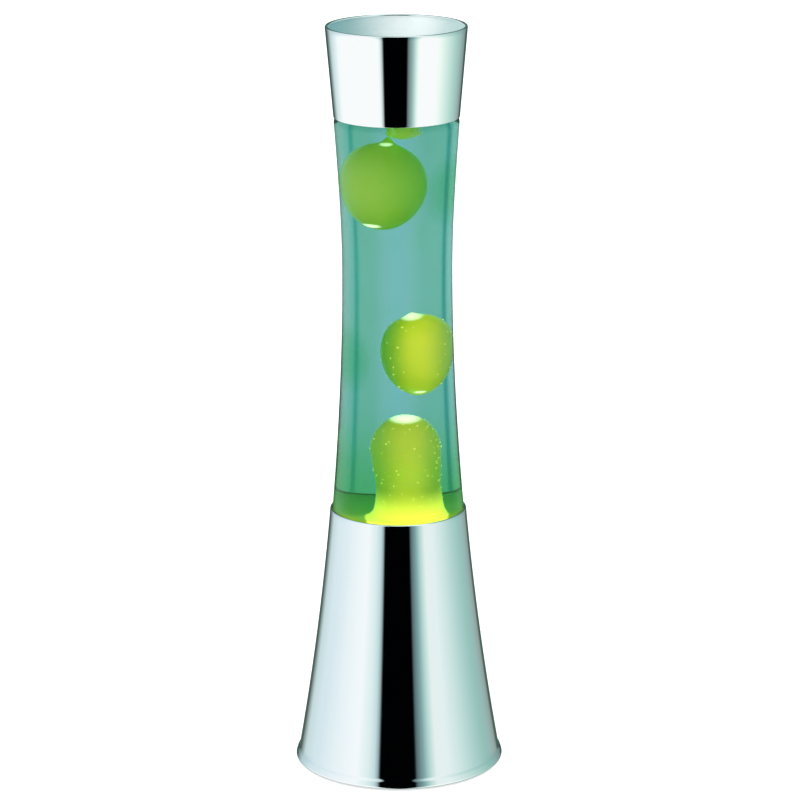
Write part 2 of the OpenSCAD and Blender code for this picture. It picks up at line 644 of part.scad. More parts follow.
// Pressed dish that closes the cap and makes the floor of its open top
module cap_dish() color(steel) turned([
  [0, dish_z], [cap_in_r(dish_z) - 2.5, dish_z], [cap_in_r(dish_z) - 1.5, dish_z - 1],
  [cap_in_r(dish_z - 7) - dish_t - fit_gap, dish_z - 7], [cap_in_r(dish_z - 7) - fit_gap, dish_z - 7],
  [cap_in_r(dish_z) - fit_gap, dish_z], [cap_in_r(dish_z) - 1.2, dish_z + dish_t], [0, dish_z + dish_t]
]);

// Moulded collar under the dish, which centres the cap on the crown
module neck_grip() color(black) {
  grip_r = crown_r + move_gap + 0.1;
  ring(grip_r + 1.5, grip_r, crown_top_z - 6, dish_z - crown_top_z + 6);
  for (i = [0:5]) rotate(60*i) translate([grip_r + 1, -0.75, dish_z - 5])
    cube([cap_in_r(dish_z - 7) - dish_t - grip_r - 2.2, 1.5, 5]);
}

base_shell();
cover_lugs();
seat_ring();
seat_gasket();
support_pillars();
pillar_screws();
bottom_cover();
cover_screws();
rubber_feet();
cord_bushing();
lamp_bracket();
bracket_screws();
threaded_nipple();
lock_nut();
holder_body();
holder_thread_shell();
holder_centre_contact();
holder_side_contact();
terminal_block();
terminal_screws();
live_lead();
neutral_lead();
earth_lead();
earth_tag();
earth_screw();
bulb_tip_contact();
bulb_insulator();
bulb_screw_shell();
bulb_envelope();
bulb_stem();
bulb_support_wires();
bulb_filament();
glass_bottle();
liquid();
wax_pool();
wax_top_blob();
wax_lower_blob();
wax_upper_blob();
heat_coil();
crown_liner();
crown_cap();
cap_shell();
cap_dish();
neck_grip();
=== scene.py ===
"""A tall table lava lamp: chromed flared base, waisted bottle of teal liquid and wax, open chromed cap.

Metres, +Z up, with the lamp's axis on Z and its foot on the table. Every size is worked out from the frame
or named below.
"""

import json
import math

import bmesh
import bpy
from mathutils import Matrix, Vector, noise


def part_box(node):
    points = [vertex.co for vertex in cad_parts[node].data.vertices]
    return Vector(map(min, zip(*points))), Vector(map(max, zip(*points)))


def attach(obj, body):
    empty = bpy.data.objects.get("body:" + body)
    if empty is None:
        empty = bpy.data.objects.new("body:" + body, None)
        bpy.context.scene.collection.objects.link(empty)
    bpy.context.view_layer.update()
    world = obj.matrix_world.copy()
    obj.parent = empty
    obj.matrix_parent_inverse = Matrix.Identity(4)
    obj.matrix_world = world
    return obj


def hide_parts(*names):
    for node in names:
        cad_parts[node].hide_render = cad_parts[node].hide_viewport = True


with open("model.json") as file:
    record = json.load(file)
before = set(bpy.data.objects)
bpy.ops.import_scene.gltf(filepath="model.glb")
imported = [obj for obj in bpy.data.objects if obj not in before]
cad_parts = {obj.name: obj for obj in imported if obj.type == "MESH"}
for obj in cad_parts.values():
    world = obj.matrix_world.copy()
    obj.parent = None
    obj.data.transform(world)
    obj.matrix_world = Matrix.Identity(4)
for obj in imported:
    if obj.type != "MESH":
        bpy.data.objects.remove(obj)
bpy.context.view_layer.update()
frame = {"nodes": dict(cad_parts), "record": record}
nodes = frame["nodes"]

MM = 0.001
TURN = 2 * math.pi
ROUND = 240  # faces round a turned piece
SMOOTH = 180  # crease angle of a piece with no creases
THREAD_ROUND = 96
FLUTED_ROUND = 252


# Sizes of the lamp, as its makers would give them ---------------------------------------------------

base_low, base_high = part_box("base_shell")
cap_low, cap_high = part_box("cap_shell")
bottle_low, bottle_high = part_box("glass_bottle")
pool_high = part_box("wax_pool")[1]

# Base
foot_r = base_high.x
edge_z = base_high.z
base_top_r = 35.9 * MM
base_wall = 1 * MM
base_bow = 1.4 * MM
bead_r = 1.3 * MM
lip_clear = base_low.z
lip_h = 5.5 * MM
lip_flare = 1.1 * MM
lip_slope = 0.13
cord_z = 17 * MM
cord_hole_r = 5 * MM
drill_h = 12 * MM  # through the wall
lead_r = 1.1 * MM

# Bottle
seat_z = bottle_low.z
finish_z = bottle_high.z
waist_z = edge_z + 128.5 * MM
shoulder_z = edge_z + 205.4 * MM
bottle_r = bottle_high.x
waist_r = 28.6 * MM
shoulder_r = 32.3 * MM
shoulder_bend = 6 * MM
shoulder_fall = math.radians(25)
foot_slope = 0.085
top_slope = 0.07
glass_wall = 3 * MM
glass_floor = 4 * MM
heel_r = 11 * MM
punt_h = 3 * MM
finish_r = 13.3 * MM
bore_r = 7.8 * MM
fill_r = 18 * MM

# Wax
pool_z = edge_z
column_h = pool_high.z - pool_z
column_x = 3 * MM
column_lean = Vector((2.0, -12.0)) * MM  # of the column's foot
column_r = 13.7 * MM
column_waist_r = 13 * MM
dome_h = 32 * MM  # from the pool up to the column's dome

# Bulb
bulb_face_h = 12.5 * MM  # from its frosted face down to its silvered bowl
collar_w, collar_h = 1.3 * MM, 2 * MM
crest_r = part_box("bulb_screw_shell")[1].x - collar_w  # of its thread
thread_depth = 0.5 * MM
thread_pitch = 2.82 * MM

# Cap
cap_foot_r = 32.5 * MM
cap_top_r = cap_high.x
cap_wall = 0.7 * MM
roll_r = 0.8 * MM
cap_bright_x = 12 * MM  # where its inside is brightest


def ease(t):
    """A soft step from 0 to 1."""
    t = min(max(t, 0), 1)
    return t * t * (3 - 2 * t)


def arc(centre_r, centre_z, radius, start, end, steps):
    """Points on an arc in the plane of an outline, with the angles in degrees."""
    turns = [math.radians(start + (end - start) * i / steps) for i in range(steps + 1)]
    return [(centre_r + radius * math.cos(a), centre_z + radius * math.sin(a)) for a in turns]


def spaced(low, high, steps):
    return [low + (high - low) * i / steps for i in range(steps + 1)]


# Outlines -------------------------------------------------------------------------------------------

side_low_z = lip_clear + lip_h
side_top_z = edge_z - base_wall
side_low_r = foot_r - lip_flare - lip_slope * lip_h


def base_r(z):
    """Outside radius of the base's wall, a cone that bows in a little."""
    t = (side_top_z - z) / (side_top_z - side_low_z)
    return base_top_r + (side_low_r - base_top_r) * t - 4 * base_bow * t * (1 - t)


def swell(end_r, length, slope, t):
    """Radius of the glass from the waist, t = 0, out to one end, t = 1."""
    rise = end_r - waist_r
    return waist_r + (3 * rise - slope * length) * t**2 + (slope * length - 2 * rise) * t**3


def glass_r(z):
    """Outside radius of the bottle's side."""
    if z < edge_z:
        return bottle_r
    if z < waist_z:
        return swell(bottle_r, waist_z - edge_z, foot_slope, (waist_z - z) / (waist_z - edge_z))
    return swell(shoulder_r, shoulder_z - waist_z, top_slope, (z - waist_z) / (shoulder_z - waist_z))


def slope_z(inset, r):
    """Height of the shoulder's slope at radius r, for glass inset from the outside."""
    bend = shoulder_bend - inset
    centre = shoulder_r - shoulder_bend
    fall = (centre + bend * math.sin(shoulder_fall) - r) * math.tan(shoulder_fall)
    return shoulder_z + bend * math.cos(shoulder_fall) + fall


heel_z = seat_z + heel_r
ring_r = bottle_r - heel_r
fill_z = slope_z(glass_wall, fill_r)


def cavity_floor(gap):
    """The bottle's floor inside, from the axis out to the heel, lifted by gap."""
    reach = ring_r * 0.9
    points = []
    for r in spaced(0, reach, 16):
        rise = punt_h * (0.5 + 0.5 * math.cos(math.pi * r / reach))
        points.append((r, seat_z + glass_floor + gap + rise))
    return points


def cavity_side(gap, top):
    """The bottle's wall inside, from the heel up to height top, pulled in by gap."""
    bend = heel_r - glass_wall - gap
    heel_turn = -math.degrees(math.asin(min((heel_r - glass_floor - gap) / bend, 1)))
    points = arc(ring_r, heel_z, bend, heel_turn, 0, 10)
    points += [(glass_r(z) - glass_wall - gap, z) for z in spaced(heel_z + 2 * MM, min(top, shoulder_z), 90)]
    return points


def shoulder_inside(gap):
    """The wall inside from the shoulder to the fill line's radius."""
    bend = shoulder_bend - glass_wall - gap
    return arc(shoulder_r - shoulder_bend, shoulder_z, bend, 6, 90 - math.degrees(shoulder_fall), 8)


# Mesh making ----------------------------------------------------------------------------------------


def finished(name, bm, *materials, crease=40):
    """A mesh object from bm, smooth except at creases over that many degrees."""
    mesh = bpy.data.meshes.new(name)
    bm.to_mesh(mesh)
    bm.free()
    mesh.shade_smooth()
    mesh.set_sharp_from_angle(angle=math.radians(crease))
    piece = bpy.data.objects.new(name, mesh)
    bpy.context.scene.collection.objects.link(piece)
    for material in materials:
        mesh.materials.append(material)
    return piece


def stacked(name, rings, *materials, closed=False, steps=ROUND, crease=40, place=None):
    """A skin through level rings, each (x, y, radius, height). A ring of no radius is a pole.

    With closed=True the last ring joins the first, for a wall with two faces. place(ring, turn) may give a
    point of its own, as on threads and flutes.
    """
    bm = bmesh.new()
    loops = []
    for k, (x, y, r, z) in enumerate(rings):
        if r < 1e-7:
            loops.append([bm.verts.new((x, y, z))])
            continue
        turns = [TURN * i / steps for i in range(steps)]
        points = [place(k, a) if place else (x + r * math.cos(a), y + r * math.sin(a), z) for a in turns]
        loops.append([bm.verts.new(p) for p in points])
    pairs = list(zip(loops, loops[1:]))
    if closed:
        pairs.append((loops[-1], loops[0]))
    for k, (low, high) in enumerate(pairs):
        for i in range(steps):
            j = (i + 1) % steps
            corners = [low[i % len(low)], low[j % len(low)], high[j % len(high)], high[i % len(high)]]
            face = bm.faces.new(list(dict.fromkeys(corners)))
            face.material_index = 0
    bmesh.ops.recalc_face_normals(bm, faces=bm.faces)
    return finished(name, bm, *materials, crease=crease)


def turned(name, outline, *materials, **how):
    """A skin turned round the lamp's axis from an outline of (radius, height)."""
    return stacked(name, [(0, 0, max(r, 0), z) for r, z in outline], *materials, **how)


def nearest_kept(outline, least=0.02 * MM):
    """The outline without points that fall on their neighbour."""
    kept = [outline[0]]
    for point in outline[1:]:
        if math.dist(point, kept[-1]) > least:
            kept.append(point)
    return kept


def plain_mesh(piece):
    """Turns what a piece's modifiers make into its own mesh."""
    graph = bpy.context.evaluated_depsgraph_get()
    mesh = bpy.data.meshes.new_from_object(piece.evaluated_get(graph))
    piece.modifiers.clear()
    piece.data = mesh
    mesh.name = piece.name
    return piece


# Geometry Nodes -------------------------------------------------------------------------------------


class Tree:
    """A small helper that adds and links the nodes of one tree."""

    def __init__(self, tree):
        self.tree = tree

    def add(self, kind, **settings):
        node = self.tree.nodes.new(kind)
        for key, value in settings.items():
            setattr(node, key, value)
        return node

    def join(self, source, target):
        """source is a socket or a plain value."""
        if isinstance(source, bpy.types.NodeSocket):
            self.tree.links.new(source, target)
        else:
            target.default_value = source

    def wired(self, kind, inputs, **settings):
        """A node with its inputs joined, by name or by number."""
        node = self.add(kind, **settings)
        for key, source in inputs.items():
            self.join(source, node.inputs[key])
        return node

    def maths(self, operation, a, b=None, c=None):
        given = {k: value for k, value in enumerate((a, b, c)) if value is not None}
        return self.wired("ShaderNodeMath", given, operation=operation).outputs[0]

    def where(self):
        """The place on the piece, in its own coordinates."""
        return self.add("ShaderNodeTexCoord").outputs["Object"]

    def split(self, vector):
        """The X, Y and Z of a vector."""
        return self.wired("ShaderNodeSeparateXYZ", {0: vector}).outputs

    def vector(self, x, y, z):
        return self.wired("ShaderNodeCombineXYZ", {0: x, 1: y, 2: z}).outputs[0]


def geometry_tree(name, inputs):
    """A Geometry Nodes tree with a mesh input, named number inputs and a mesh output."""
    tree = bpy.data.node_groups.new(name, "GeometryNodeTree")
    tree.interface.new_socket("Geometry", in_out="INPUT", socket_type="NodeSocketGeometry")
    for label, kind in inputs:
        tree.interface.new_socket(label, in_out="INPUT", socket_type=kind)
    tree.interface.new_socket("Geometry", in_out="OUTPUT", socket_type="NodeSocketGeometry")
    return with_ends(tree)


def with_ends(tree):
    """A tree's helper, the values that come into it and the sockets that it puts out."""
    return Tree(tree), tree.nodes.new("NodeGroupInput").outputs, tree.nodes.new("NodeGroupOutput").inputs


def grown(name, tree, values, source=None):
    """The plain mesh that a tree makes, on an empty mesh or on a source piece's mesh."""
    mesh = source.data.copy() if source else bpy.data.meshes.new(name)
    piece = bpy.data.objects.new(name, mesh)
    bpy.context.scene.collection.objects.link(piece)
    modifier = piece.modifiers.new("Made", "NODES")
    modifier.node_group = tree
    for item in tree.interface.items_tree:
        if item.in_out == "INPUT" and item.name in values:
            modifier[item.identifier] = values[item.name]
    return plain_mesh(piece)


FLOAT, WHOLE, STUFF = "NodeSocketFloat", "NodeSocketInt", "NodeSocketMaterial"


def wire_tree():
    """Wire wound in a close coil round a ring, or along X where the ring's radius is nothing."""
    t, given, made = geometry_tree("Wound wire", [
        ("Ring radius", FLOAT), ("Coil radius", FLOAT), ("Wire radius", FLOAT), ("Turns", FLOAT),
        ("Length", FLOAT), ("Height", FLOAT), ("Points", WHOLE), ("Sides", WHOLE), ("Material", STUFF)])
    line = t.wired("GeometryNodeMeshLine", {"Count": given["Points"]})
    curve = t.wired("GeometryNodeMeshToCurve", {0: line.outputs[0]})
    index = t.add("GeometryNodeInputIndex").outputs[0]
    share = t.maths("DIVIDE", index, t.maths("SUBTRACT", given["Points"], 1.0))
    round_ring = t.maths("MULTIPLY", share, TURN)
    round_wire = t.maths("MULTIPLY", round_ring, given["Turns"])
    out = t.maths("MULTIPLY", t.maths("COSINE", round_wire), given["Coil radius"])
    up = t.maths("MULTIPLY", t.maths("SINE", round_wire), given["Coil radius"])
    reach = t.maths("ADD", out, given["Ring radius"])
    is_ring = t.maths("GREATER_THAN", given["Ring radius"], 0.0)
    along = t.maths("MULTIPLY", t.maths("SUBTRACT", share, 0.5), given["Length"])
    ring_x = t.maths("MULTIPLY", reach, t.maths("COSINE", round_ring))
    ring_y = t.maths("MULTIPLY", reach, t.maths("SINE", round_ring))
    straight = t.maths("SUBTRACT", 1.0, is_ring)
    x = t.maths("ADD", t.maths("MULTIPLY", ring_x, is_ring), t.maths("MULTIPLY", along, straight))
    y = t.maths("ADD", t.maths("MULTIPLY", ring_y, is_ring), t.maths("MULTIPLY", out, straight))
    z = t.maths("ADD", up, given["Height"])
    moved = t.wired("GeometryNodeSetPosition", {"Geometry": curve.outputs[0], "Position": t.vector(x, y, z)})
    section = t.wired("GeometryNodeCurvePrimitiveCircle",
                      {"Resolution": given["Sides"], "Radius": given["Wire radius"]})
    wire = t.wired("GeometryNodeCurveToMesh", {"Curve": moved.outputs[0], "Profile Curve": section.outputs[0],
                                               "Fill Caps": True})
    coated(t, wire.outputs[0], given["Material"], made)
    return t.tree


def coated(t, shape, material, made):
    """The end of every tree: instances made real and the material set."""
    real = t.wired("GeometryNodeRealizeInstances", {0: shape})
    smooth = t.wired("GeometryNodeSetShadeSmooth", {"Geometry": real.outputs[0]})
    painted = t.wired("GeometryNodeSetMaterial", {"Geometry": smooth.outputs[0], "Material": material})
    t.join(painted.outputs[0], made[0])


def bubble_tree():
    """Small bubbles caught in the skin of a piece of wax."""
    t, given, made = geometry_tree("Bubbles in wax", [
        ("Per square metre", FLOAT), ("Least radius", FLOAT), ("Most radius", FLOAT), ("Above height", FLOAT),
        ("Seed", WHOLE), ("Material", STUFF)])
    height = t.split(t.add("GeometryNodeInputPosition").outputs[0])["Z"]
    spread = t.wired("GeometryNodeDistributePointsOnFaces", {
        "Mesh": given["Geometry"], "Selection": t.maths("GREATER_THAN", height, given["Above height"]),
        "Density": given["Per square metre"], "Seed": given["Seed"]}, distribute_method="RANDOM")
    ball = t.wired("GeometryNodeMeshIcoSphere", {"Radius": 1.0, "Subdivisions": 2})
    chosen = t.wired("FunctionNodeRandomValue", {"Seed": given["Seed"]}, data_type="FLOAT")
    small, large = [socket for socket in chosen.inputs if socket.type == "VALUE" and socket.enabled][:2]
    t.join(given["Least radius"], small)
    t.join(given["Most radius"], large)
    radius = [socket for socket in chosen.outputs if socket.enabled][0]
    placed = t.wired("GeometryNodeInstanceOnPoints", {
        "Points": spread.outputs["Points"], "Instance": ball.outputs["Mesh"], "Scale": radius})
    coated(t, placed.outputs[0], given["Material"], made)
    return t.tree


# Shared shading effects -----------------------------------------------------------------------------


def shade_group(name, inputs, outputs):
    """A shader node group with named sockets. inputs are (name, kind, value)."""
    tree = bpy.data.node_groups.new(name, "ShaderNodeTree")
    for label, kind, value in inputs:
        socket = tree.interface.new_socket(label, in_out="INPUT", socket_type=kind)
        socket.default_value = value
    for label, kind in outputs:
        tree.interface.new_socket(label, in_out="OUTPUT", socket_type=kind)
    return with_ends(tree)


COLOUR = "NodeSocketColor"


def noise_value(t, where, scale, detail=3.0, rough=0.5):
    return t.wired("ShaderNodeTexNoise", {
        "Vector": where, "Scale": scale, "Detail": detail, "Roughness": rough}).outputs["Fac"]


def between(t, value, low, high, to_low=0.0, to_high=1.0):
    """A soft step from to_low to to_high while the value goes from low to high."""
    return t.wired("ShaderNodeMapRange", {
        "Value": value, "From Min": low, "From Max": high, "To Min": to_low, "To Max": to_high},
        interpolation_type="SMOOTHSTEP").outputs["Result"]


def tinted(t, share, a, b, **how):
    """Colour a where share is 0, and b where it is 1."""
    return t.wired("ShaderNodeMix", {"Factor": share, 6: a, 7: b}, data_type="RGBA", **how).outputs[2]


def handling_group():
    """Wear from being wiped and handled: faint smears and hairlines that change the gloss."""
    t, given, made = shade_group("Handling", [
        ("Roughness", FLOAT, 0.05), ("Smear", FLOAT, 0.05), ("Hairlines", FLOAT, 0.05),
        ("Scale", FLOAT, 60.0)], [("Roughness", FLOAT), ("Height", FLOAT)])
    where = t.where()
    smear = noise_value(t, where, given["Scale"], 4.0, 0.6)
    stretched = t.wired("ShaderNodeMapping", {
        "Vector": where, "Scale": (900, 900, 40), "Rotation": (0.3, 0.5, 0.2)})
    lines = between(t, noise_value(t, stretched.outputs[0], 1.0, 2.0), 0.62, 0.74)
    rough = t.maths("MULTIPLY_ADD", between(t, smear, 0.35, 0.7), given["Smear"],
                    given["Roughness"])
    rough = t.maths("MULTIPLY_ADD", lines, given["Hairlines"], rough)
    t.join(rough, made["Roughness"])
    t.join(t.maths("SUBTRACT", smear, t.maths("MULTIPLY", lines, 0.5)), made["Height"])
    return t.tree


def spun_group():
    """Fine rings left by spinning or polishing on a lathe, round the lamp's axis."""
    t, given, made = shade_group("Spun rings", [("Fineness", FLOAT, 4000.0), ("Uneven", FLOAT, 0.5)],
                                 [("Mask", FLOAT), ("Height", FLOAT)])
    x, y, z = t.split(t.where())
    radius = t.maths("SQRT", t.maths("ADD", t.maths("MULTIPLY", x, x), t.maths("MULTIPLY", y, y)))
    turn = t.maths("ARCTAN2", y, x)
    across = t.vector(t.maths("MULTIPLY", radius, given["Fineness"]),
                      t.maths("MULTIPLY", turn, 2.0), t.maths("MULTIPLY", z, given["Fineness"]))
    fine = noise_value(t, across, 1.0, 4.0, 0.65)
    wide = t.vector(t.maths("MULTIPLY", radius, 300.0), t.maths("MULTIPLY", turn, 0.6),
                    t.maths("MULTIPLY", z, 300.0))
    band = noise_value(t, wide, 1.0, 2.0)
    mask = t.maths("MULTIPLY_ADD", t.maths("SUBTRACT", band, 0.5), given["Uneven"], fine)
    t.join(mask, made["Mask"])
    t.join(fine, made["Height"])
    return t.tree


def dust_group():
    """A little dust that lies on faces that look up, and in patches."""
    t, given, made = shade_group("Dust", [
        ("Color", COLOUR, (0.5, 0.5, 0.5, 1)), ("Dust color", COLOUR, (0.55, 0.53, 0.5, 1)),
        ("Amount", FLOAT, 0.2)], [("Color", COLOUR), ("Mask", FLOAT)])
    facing = t.split(t.add("ShaderNodeNewGeometry").outputs["Normal"])
    up = between(t, facing["Z"], 0.1, 0.95)
    patch = noise_value(t, t.where(), 180.0, 5.0, 0.7)
    share = t.maths("MULTIPLY", t.maths("MULTIPLY", up, given["Amount"]),
                    between(t, patch, 0.35, 0.65, 0.3, 1.0))
    t.join(tinted(t, share, given["Color"], given["Dust color"]), made["Color"])
    t.join(share, made["Mask"])
    return t.tree


def grain_group():
    """The fine pebbled grain of moulded plastic and rubber."""
    t, given, made = shade_group("Moulded grain", [("Scale", FLOAT, 2500.0), ("Color", COLOUR, (1, 1, 1, 1)),
                                                   ("Mottle", FLOAT, 0.1)],
                                 [("Height", FLOAT), ("Color", COLOUR)])
    where = t.where()
    t.join(noise_value(t, where, given["Scale"], 3.0, 0.6), made["Height"])
    blotch = between(t, noise_value(t, where, 90.0, 4.0), 0.3, 0.7)
    mottle = t.maths("MULTIPLY", blotch, given["Mottle"])
    t.join(tinted(t, mottle, given["Color"], (0.45, 0.45, 0.45, 1), blend_type="MULTIPLY"),
           made["Color"])
    return t.tree


handling, spun, dust, grain = handling_group(), spun_group(), dust_group(), grain_group()


# Materials ------------------------------------------------------------------------------------------


class Finish(Tree):
    """A material with its Principled shader and the values set on it directly."""

    def __init__(self, name, **values):
        self.material = bpy.data.materials.new(name)
        self.material.use_nodes = True
        super().__init__(self.material.node_tree)
        self.shader = self.tree.nodes["Principled BSDF"]
        self.output = self.tree.nodes["Material Output"]
        for key, value in values.items():
            self.shader.inputs[key.replace("_", " ")].default_value = value

    def place(self, group, **values):
        return self.wired("ShaderNodeGroup", values, node_tree=group).outputs

    def feed(self, key, source):
        self.join(source, self.shader.inputs[key])

    def bump(self, height, strength, distance):
        node = self.wired("ShaderNodeBump", {"Strength": strength, "Distance": distance, "Height": height})
        self.feed("Normal", node.outputs[0])

    def worn(self, roughness, smear, hairlines, scale, *bump):
        """Roughness with handling wear. bump is a strength and a distance."""
        wear = self.place(handling, Roughness=roughness, Smear=smear, Hairlines=hairlines, Scale=scale)
        self.feed("Roughness", wear["Roughness"])
        if bump:
            self.bump(wear["Height"], *bump)
        return self.material

    def grained(self, colour, scale, mottle, dusty, bump):
        """A moulded grain in a colour, with dust on it."""
        skin = self.place(grain, Scale=scale, Color=colour, Mottle=mottle)
        shade = skin["Color"]
        if dusty:
            shade = self.place(dust, Color=shade, Amount=dusty)["Color"]
        self.feed("Base Color", shade)
        self.bump(skin["Height"], bump, 0.05 * MM)
        return self.material


def chrome():
    f = Finish("mirror_chrome", Metallic=1.0, Base_Color=(0.94, 0.965, 0.97, 1))
    return f.worn(0.02, 0.02, 0.03, 45.0)


def satin_inside():
    """The unpolished inside of the cap's sheet, with the light that it takes on from all round painted into
    its colour, and a faint painted glow.
    """
    f = Finish("satin_cap_inside", Metallic=0.25, Emission_Strength=0.4)
    x = f.split(f.where())["X"]
    rings = f.place(spun, Fineness=2600.0, Uneven=0.6)
    # Painted reflection of the room: dark teal to the left, brightest at cap_bright_x, grey-green to the
    # right.
    left = between(f, x, -cap_top_r, cap_bright_x)
    right = between(f, x, cap_bright_x, cap_top_r)
    shade = tinted(f, left, (0.12, 0.30, 0.31, 1), (0.93, 0.97, 0.96, 1))
    shade = tinted(f, right, shade, (0.42, 0.58, 0.57, 1))
    shade = tinted(f, f.maths("MULTIPLY", rings["Mask"], 0.12), shade, (0.3, 0.36, 0.36, 1))
    f.feed("Base Color", shade)
    # The painted light is also fed to the emission, so the inside glows a little.
    f.feed("Emission Color", shade)
    f.feed("Roughness", between(f, rings["Mask"], 0.2, 0.8, 0.24, 0.40))
    f.bump(rings["Height"], 0.25, 0.02 * MM)
    return f.material


def satin_aluminium():
    f = Finish("satin_aluminium", Metallic=1.0)
    rings = f.place(spun, Fineness=1800.0, Uneven=0.5)
    shade = tinted(f, rings["Mask"], (0.55, 0.56, 0.57, 1), (0.80, 0.81, 0.81, 1))
    dusty = f.place(dust, Color=shade, Amount=0.25)
    f.feed("Base Color", dusty["Color"])
    f.feed("Roughness", between(f, rings["Mask"], 0.2, 0.8, 0.28, 0.45))
    f.bump(rings["Height"], 0.2, 0.02 * MM)
    return f.material


def zinc_steel():
    f = Finish("zinc_plated_steel", Metallic=1.0)
    spangle = f.wired("ShaderNodeTexVoronoi", {"Vector": f.where(), "Scale": 420.0})
    shade = tinted(f, spangle.outputs["Color"], (0.46, 0.48, 0.50, 1), (0.66, 0.68, 0.70, 1))
    dusty = f.place(dust, Color=shade, Amount=0.3)
    f.feed("Base Color", dusty["Color"])
    return f.worn(0.26, 0.14, 0.12, 120.0, 0.12, 0.05 * MM)


def brass():
    f = Finish("drawn_brass", Metallic=1.0)
    tarnish = between(f, noise_value(f, f.where(), 260.0, 4.0, 0.6), 0.35, 0.7)
    f.feed("Base Color", tinted(f, tarnish, (0.80, 0.58, 0.25, 1), (0.52, 0.35, 0.14, 1)))
    return f.worn(0.2, 0.15, 0.1, 140.0, 0.1, 0.03 * MM)


def moulded(name, colour, roughness, scale, mottle, dusty, bump):
    """Plastic, rubber or enamel with a moulded or sprayed grain."""
    return Finish(name, Roughness=roughness).grained((*colour, 1), scale, mottle, dusty, bump)


def striped_lead():
    """The earth lead's green insulation with a yellow stripe along it."""
    f = Finish("green_yellow_lead", Roughness=0.35)
    low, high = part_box("earth_lead")
    run_z, drop_x = high.z - lead_r, low.x + lead_r
    start, full = 0.2 * MM, 0.35 * MM
    x, _, z = f.split(f.where())
    level = between(f, z, run_z + start, run_z + full)
    upright = between(f, x, drop_x + start, drop_x + full)
    falls = between(f, z, run_z - 2 * MM, run_z - 1.5 * MM, 1.0, 0.0)
    yellow = f.maths("ADD", level, f.maths("MULTIPLY", upright, falls))
    shade = tinted(f, yellow, (0.06, 0.33, 0.06, 1), (0.80, 0.62, 0.05, 1))
    return f.grained(shade, 900.0, 0.15, 0, 0.1)


def bottle_glass():
    f = Finish("bottle_glass", Base_Color=(0.985, 1.0, 0.995, 1), IOR=1.47, Transmission_Weight=1.0,
               Specular_Tint=(0.15, 0.17, 0.17, 1))
    return f.worn(0.0, 0.006, 0.0, 30.0)


def bulb_glass():
    """The reflector bulb's glass: a silvered bowl under a frosted, glowing face."""
    f = Finish("bulb_glass", IOR=1.5, Emission_Color=(1.0, 0.82, 0.55, 1))
    bowl_z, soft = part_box("bulb_envelope")[1].z - bulb_face_h, 0.4 * MM
    face = between(f, f.split(f.where())["Z"], bowl_z - soft, bowl_z + soft)
    f.feed("Metallic", f.maths("SUBTRACT", 1.0, face))
    f.feed("Base Color", tinted(f, face, (0.86, 0.86, 0.87, 1), (0.95, 0.93, 0.88, 1)))
    frost = noise_value(f, f.where(), 900.0, 3.0)
    f.feed("Roughness", f.maths("MULTIPLY_ADD", face, between(f, frost, 0.3, 0.7, 0.35, 0.6), 0.12))
    f.feed("Emission Strength", f.maths("MULTIPLY", face, between(f, frost, 0.3, 0.7, 1.3, 1.7)))
    f.bump(frost, 0.1, 0.05 * MM)
    return f.material


def black_glass():
    f = Finish("black_glass", Coat_Weight=0.5, Coat_Roughness=0.05)
    skin = f.place(grain, Scale=600.0, Color=(0.02, 0.02, 0.022, 1), Mottle=0.4)
    f.feed("Base Color", skin["Color"])
    return f.worn(0.12, 0.1, 0.02, 200.0)


def tungsten():
    f = Finish("glowing_tungsten", Metallic=1.0, Roughness=0.4, Emission_Strength=6.0)
    heat = noise_value(f, f.where(), 400.0, 2.0)
    f.feed("Base Color", tinted(f, heat, (0.25, 0.24, 0.23, 1), (0.4, 0.38, 0.36, 1)))
    f.feed("Emission Color", tinted(f, heat, (1.0, 0.55, 0.18, 1), (1.0, 0.8, 0.5, 1)))
    return f.material


def within(f, parts, place, size):
    """1 at a place, falling softly to 0 on the ellipsoid of that size round it."""
    total = 0.0
    for k, (middle, reach) in enumerate(zip(place, size)):
        part = f.maths("DIVIDE", f.maths("SUBTRACT", parts[k], middle), reach)
        total = f.maths("MULTIPLY_ADD", part, part, total)
    return between(f, total, 0.0, 1.0, 1.0, 0.0)


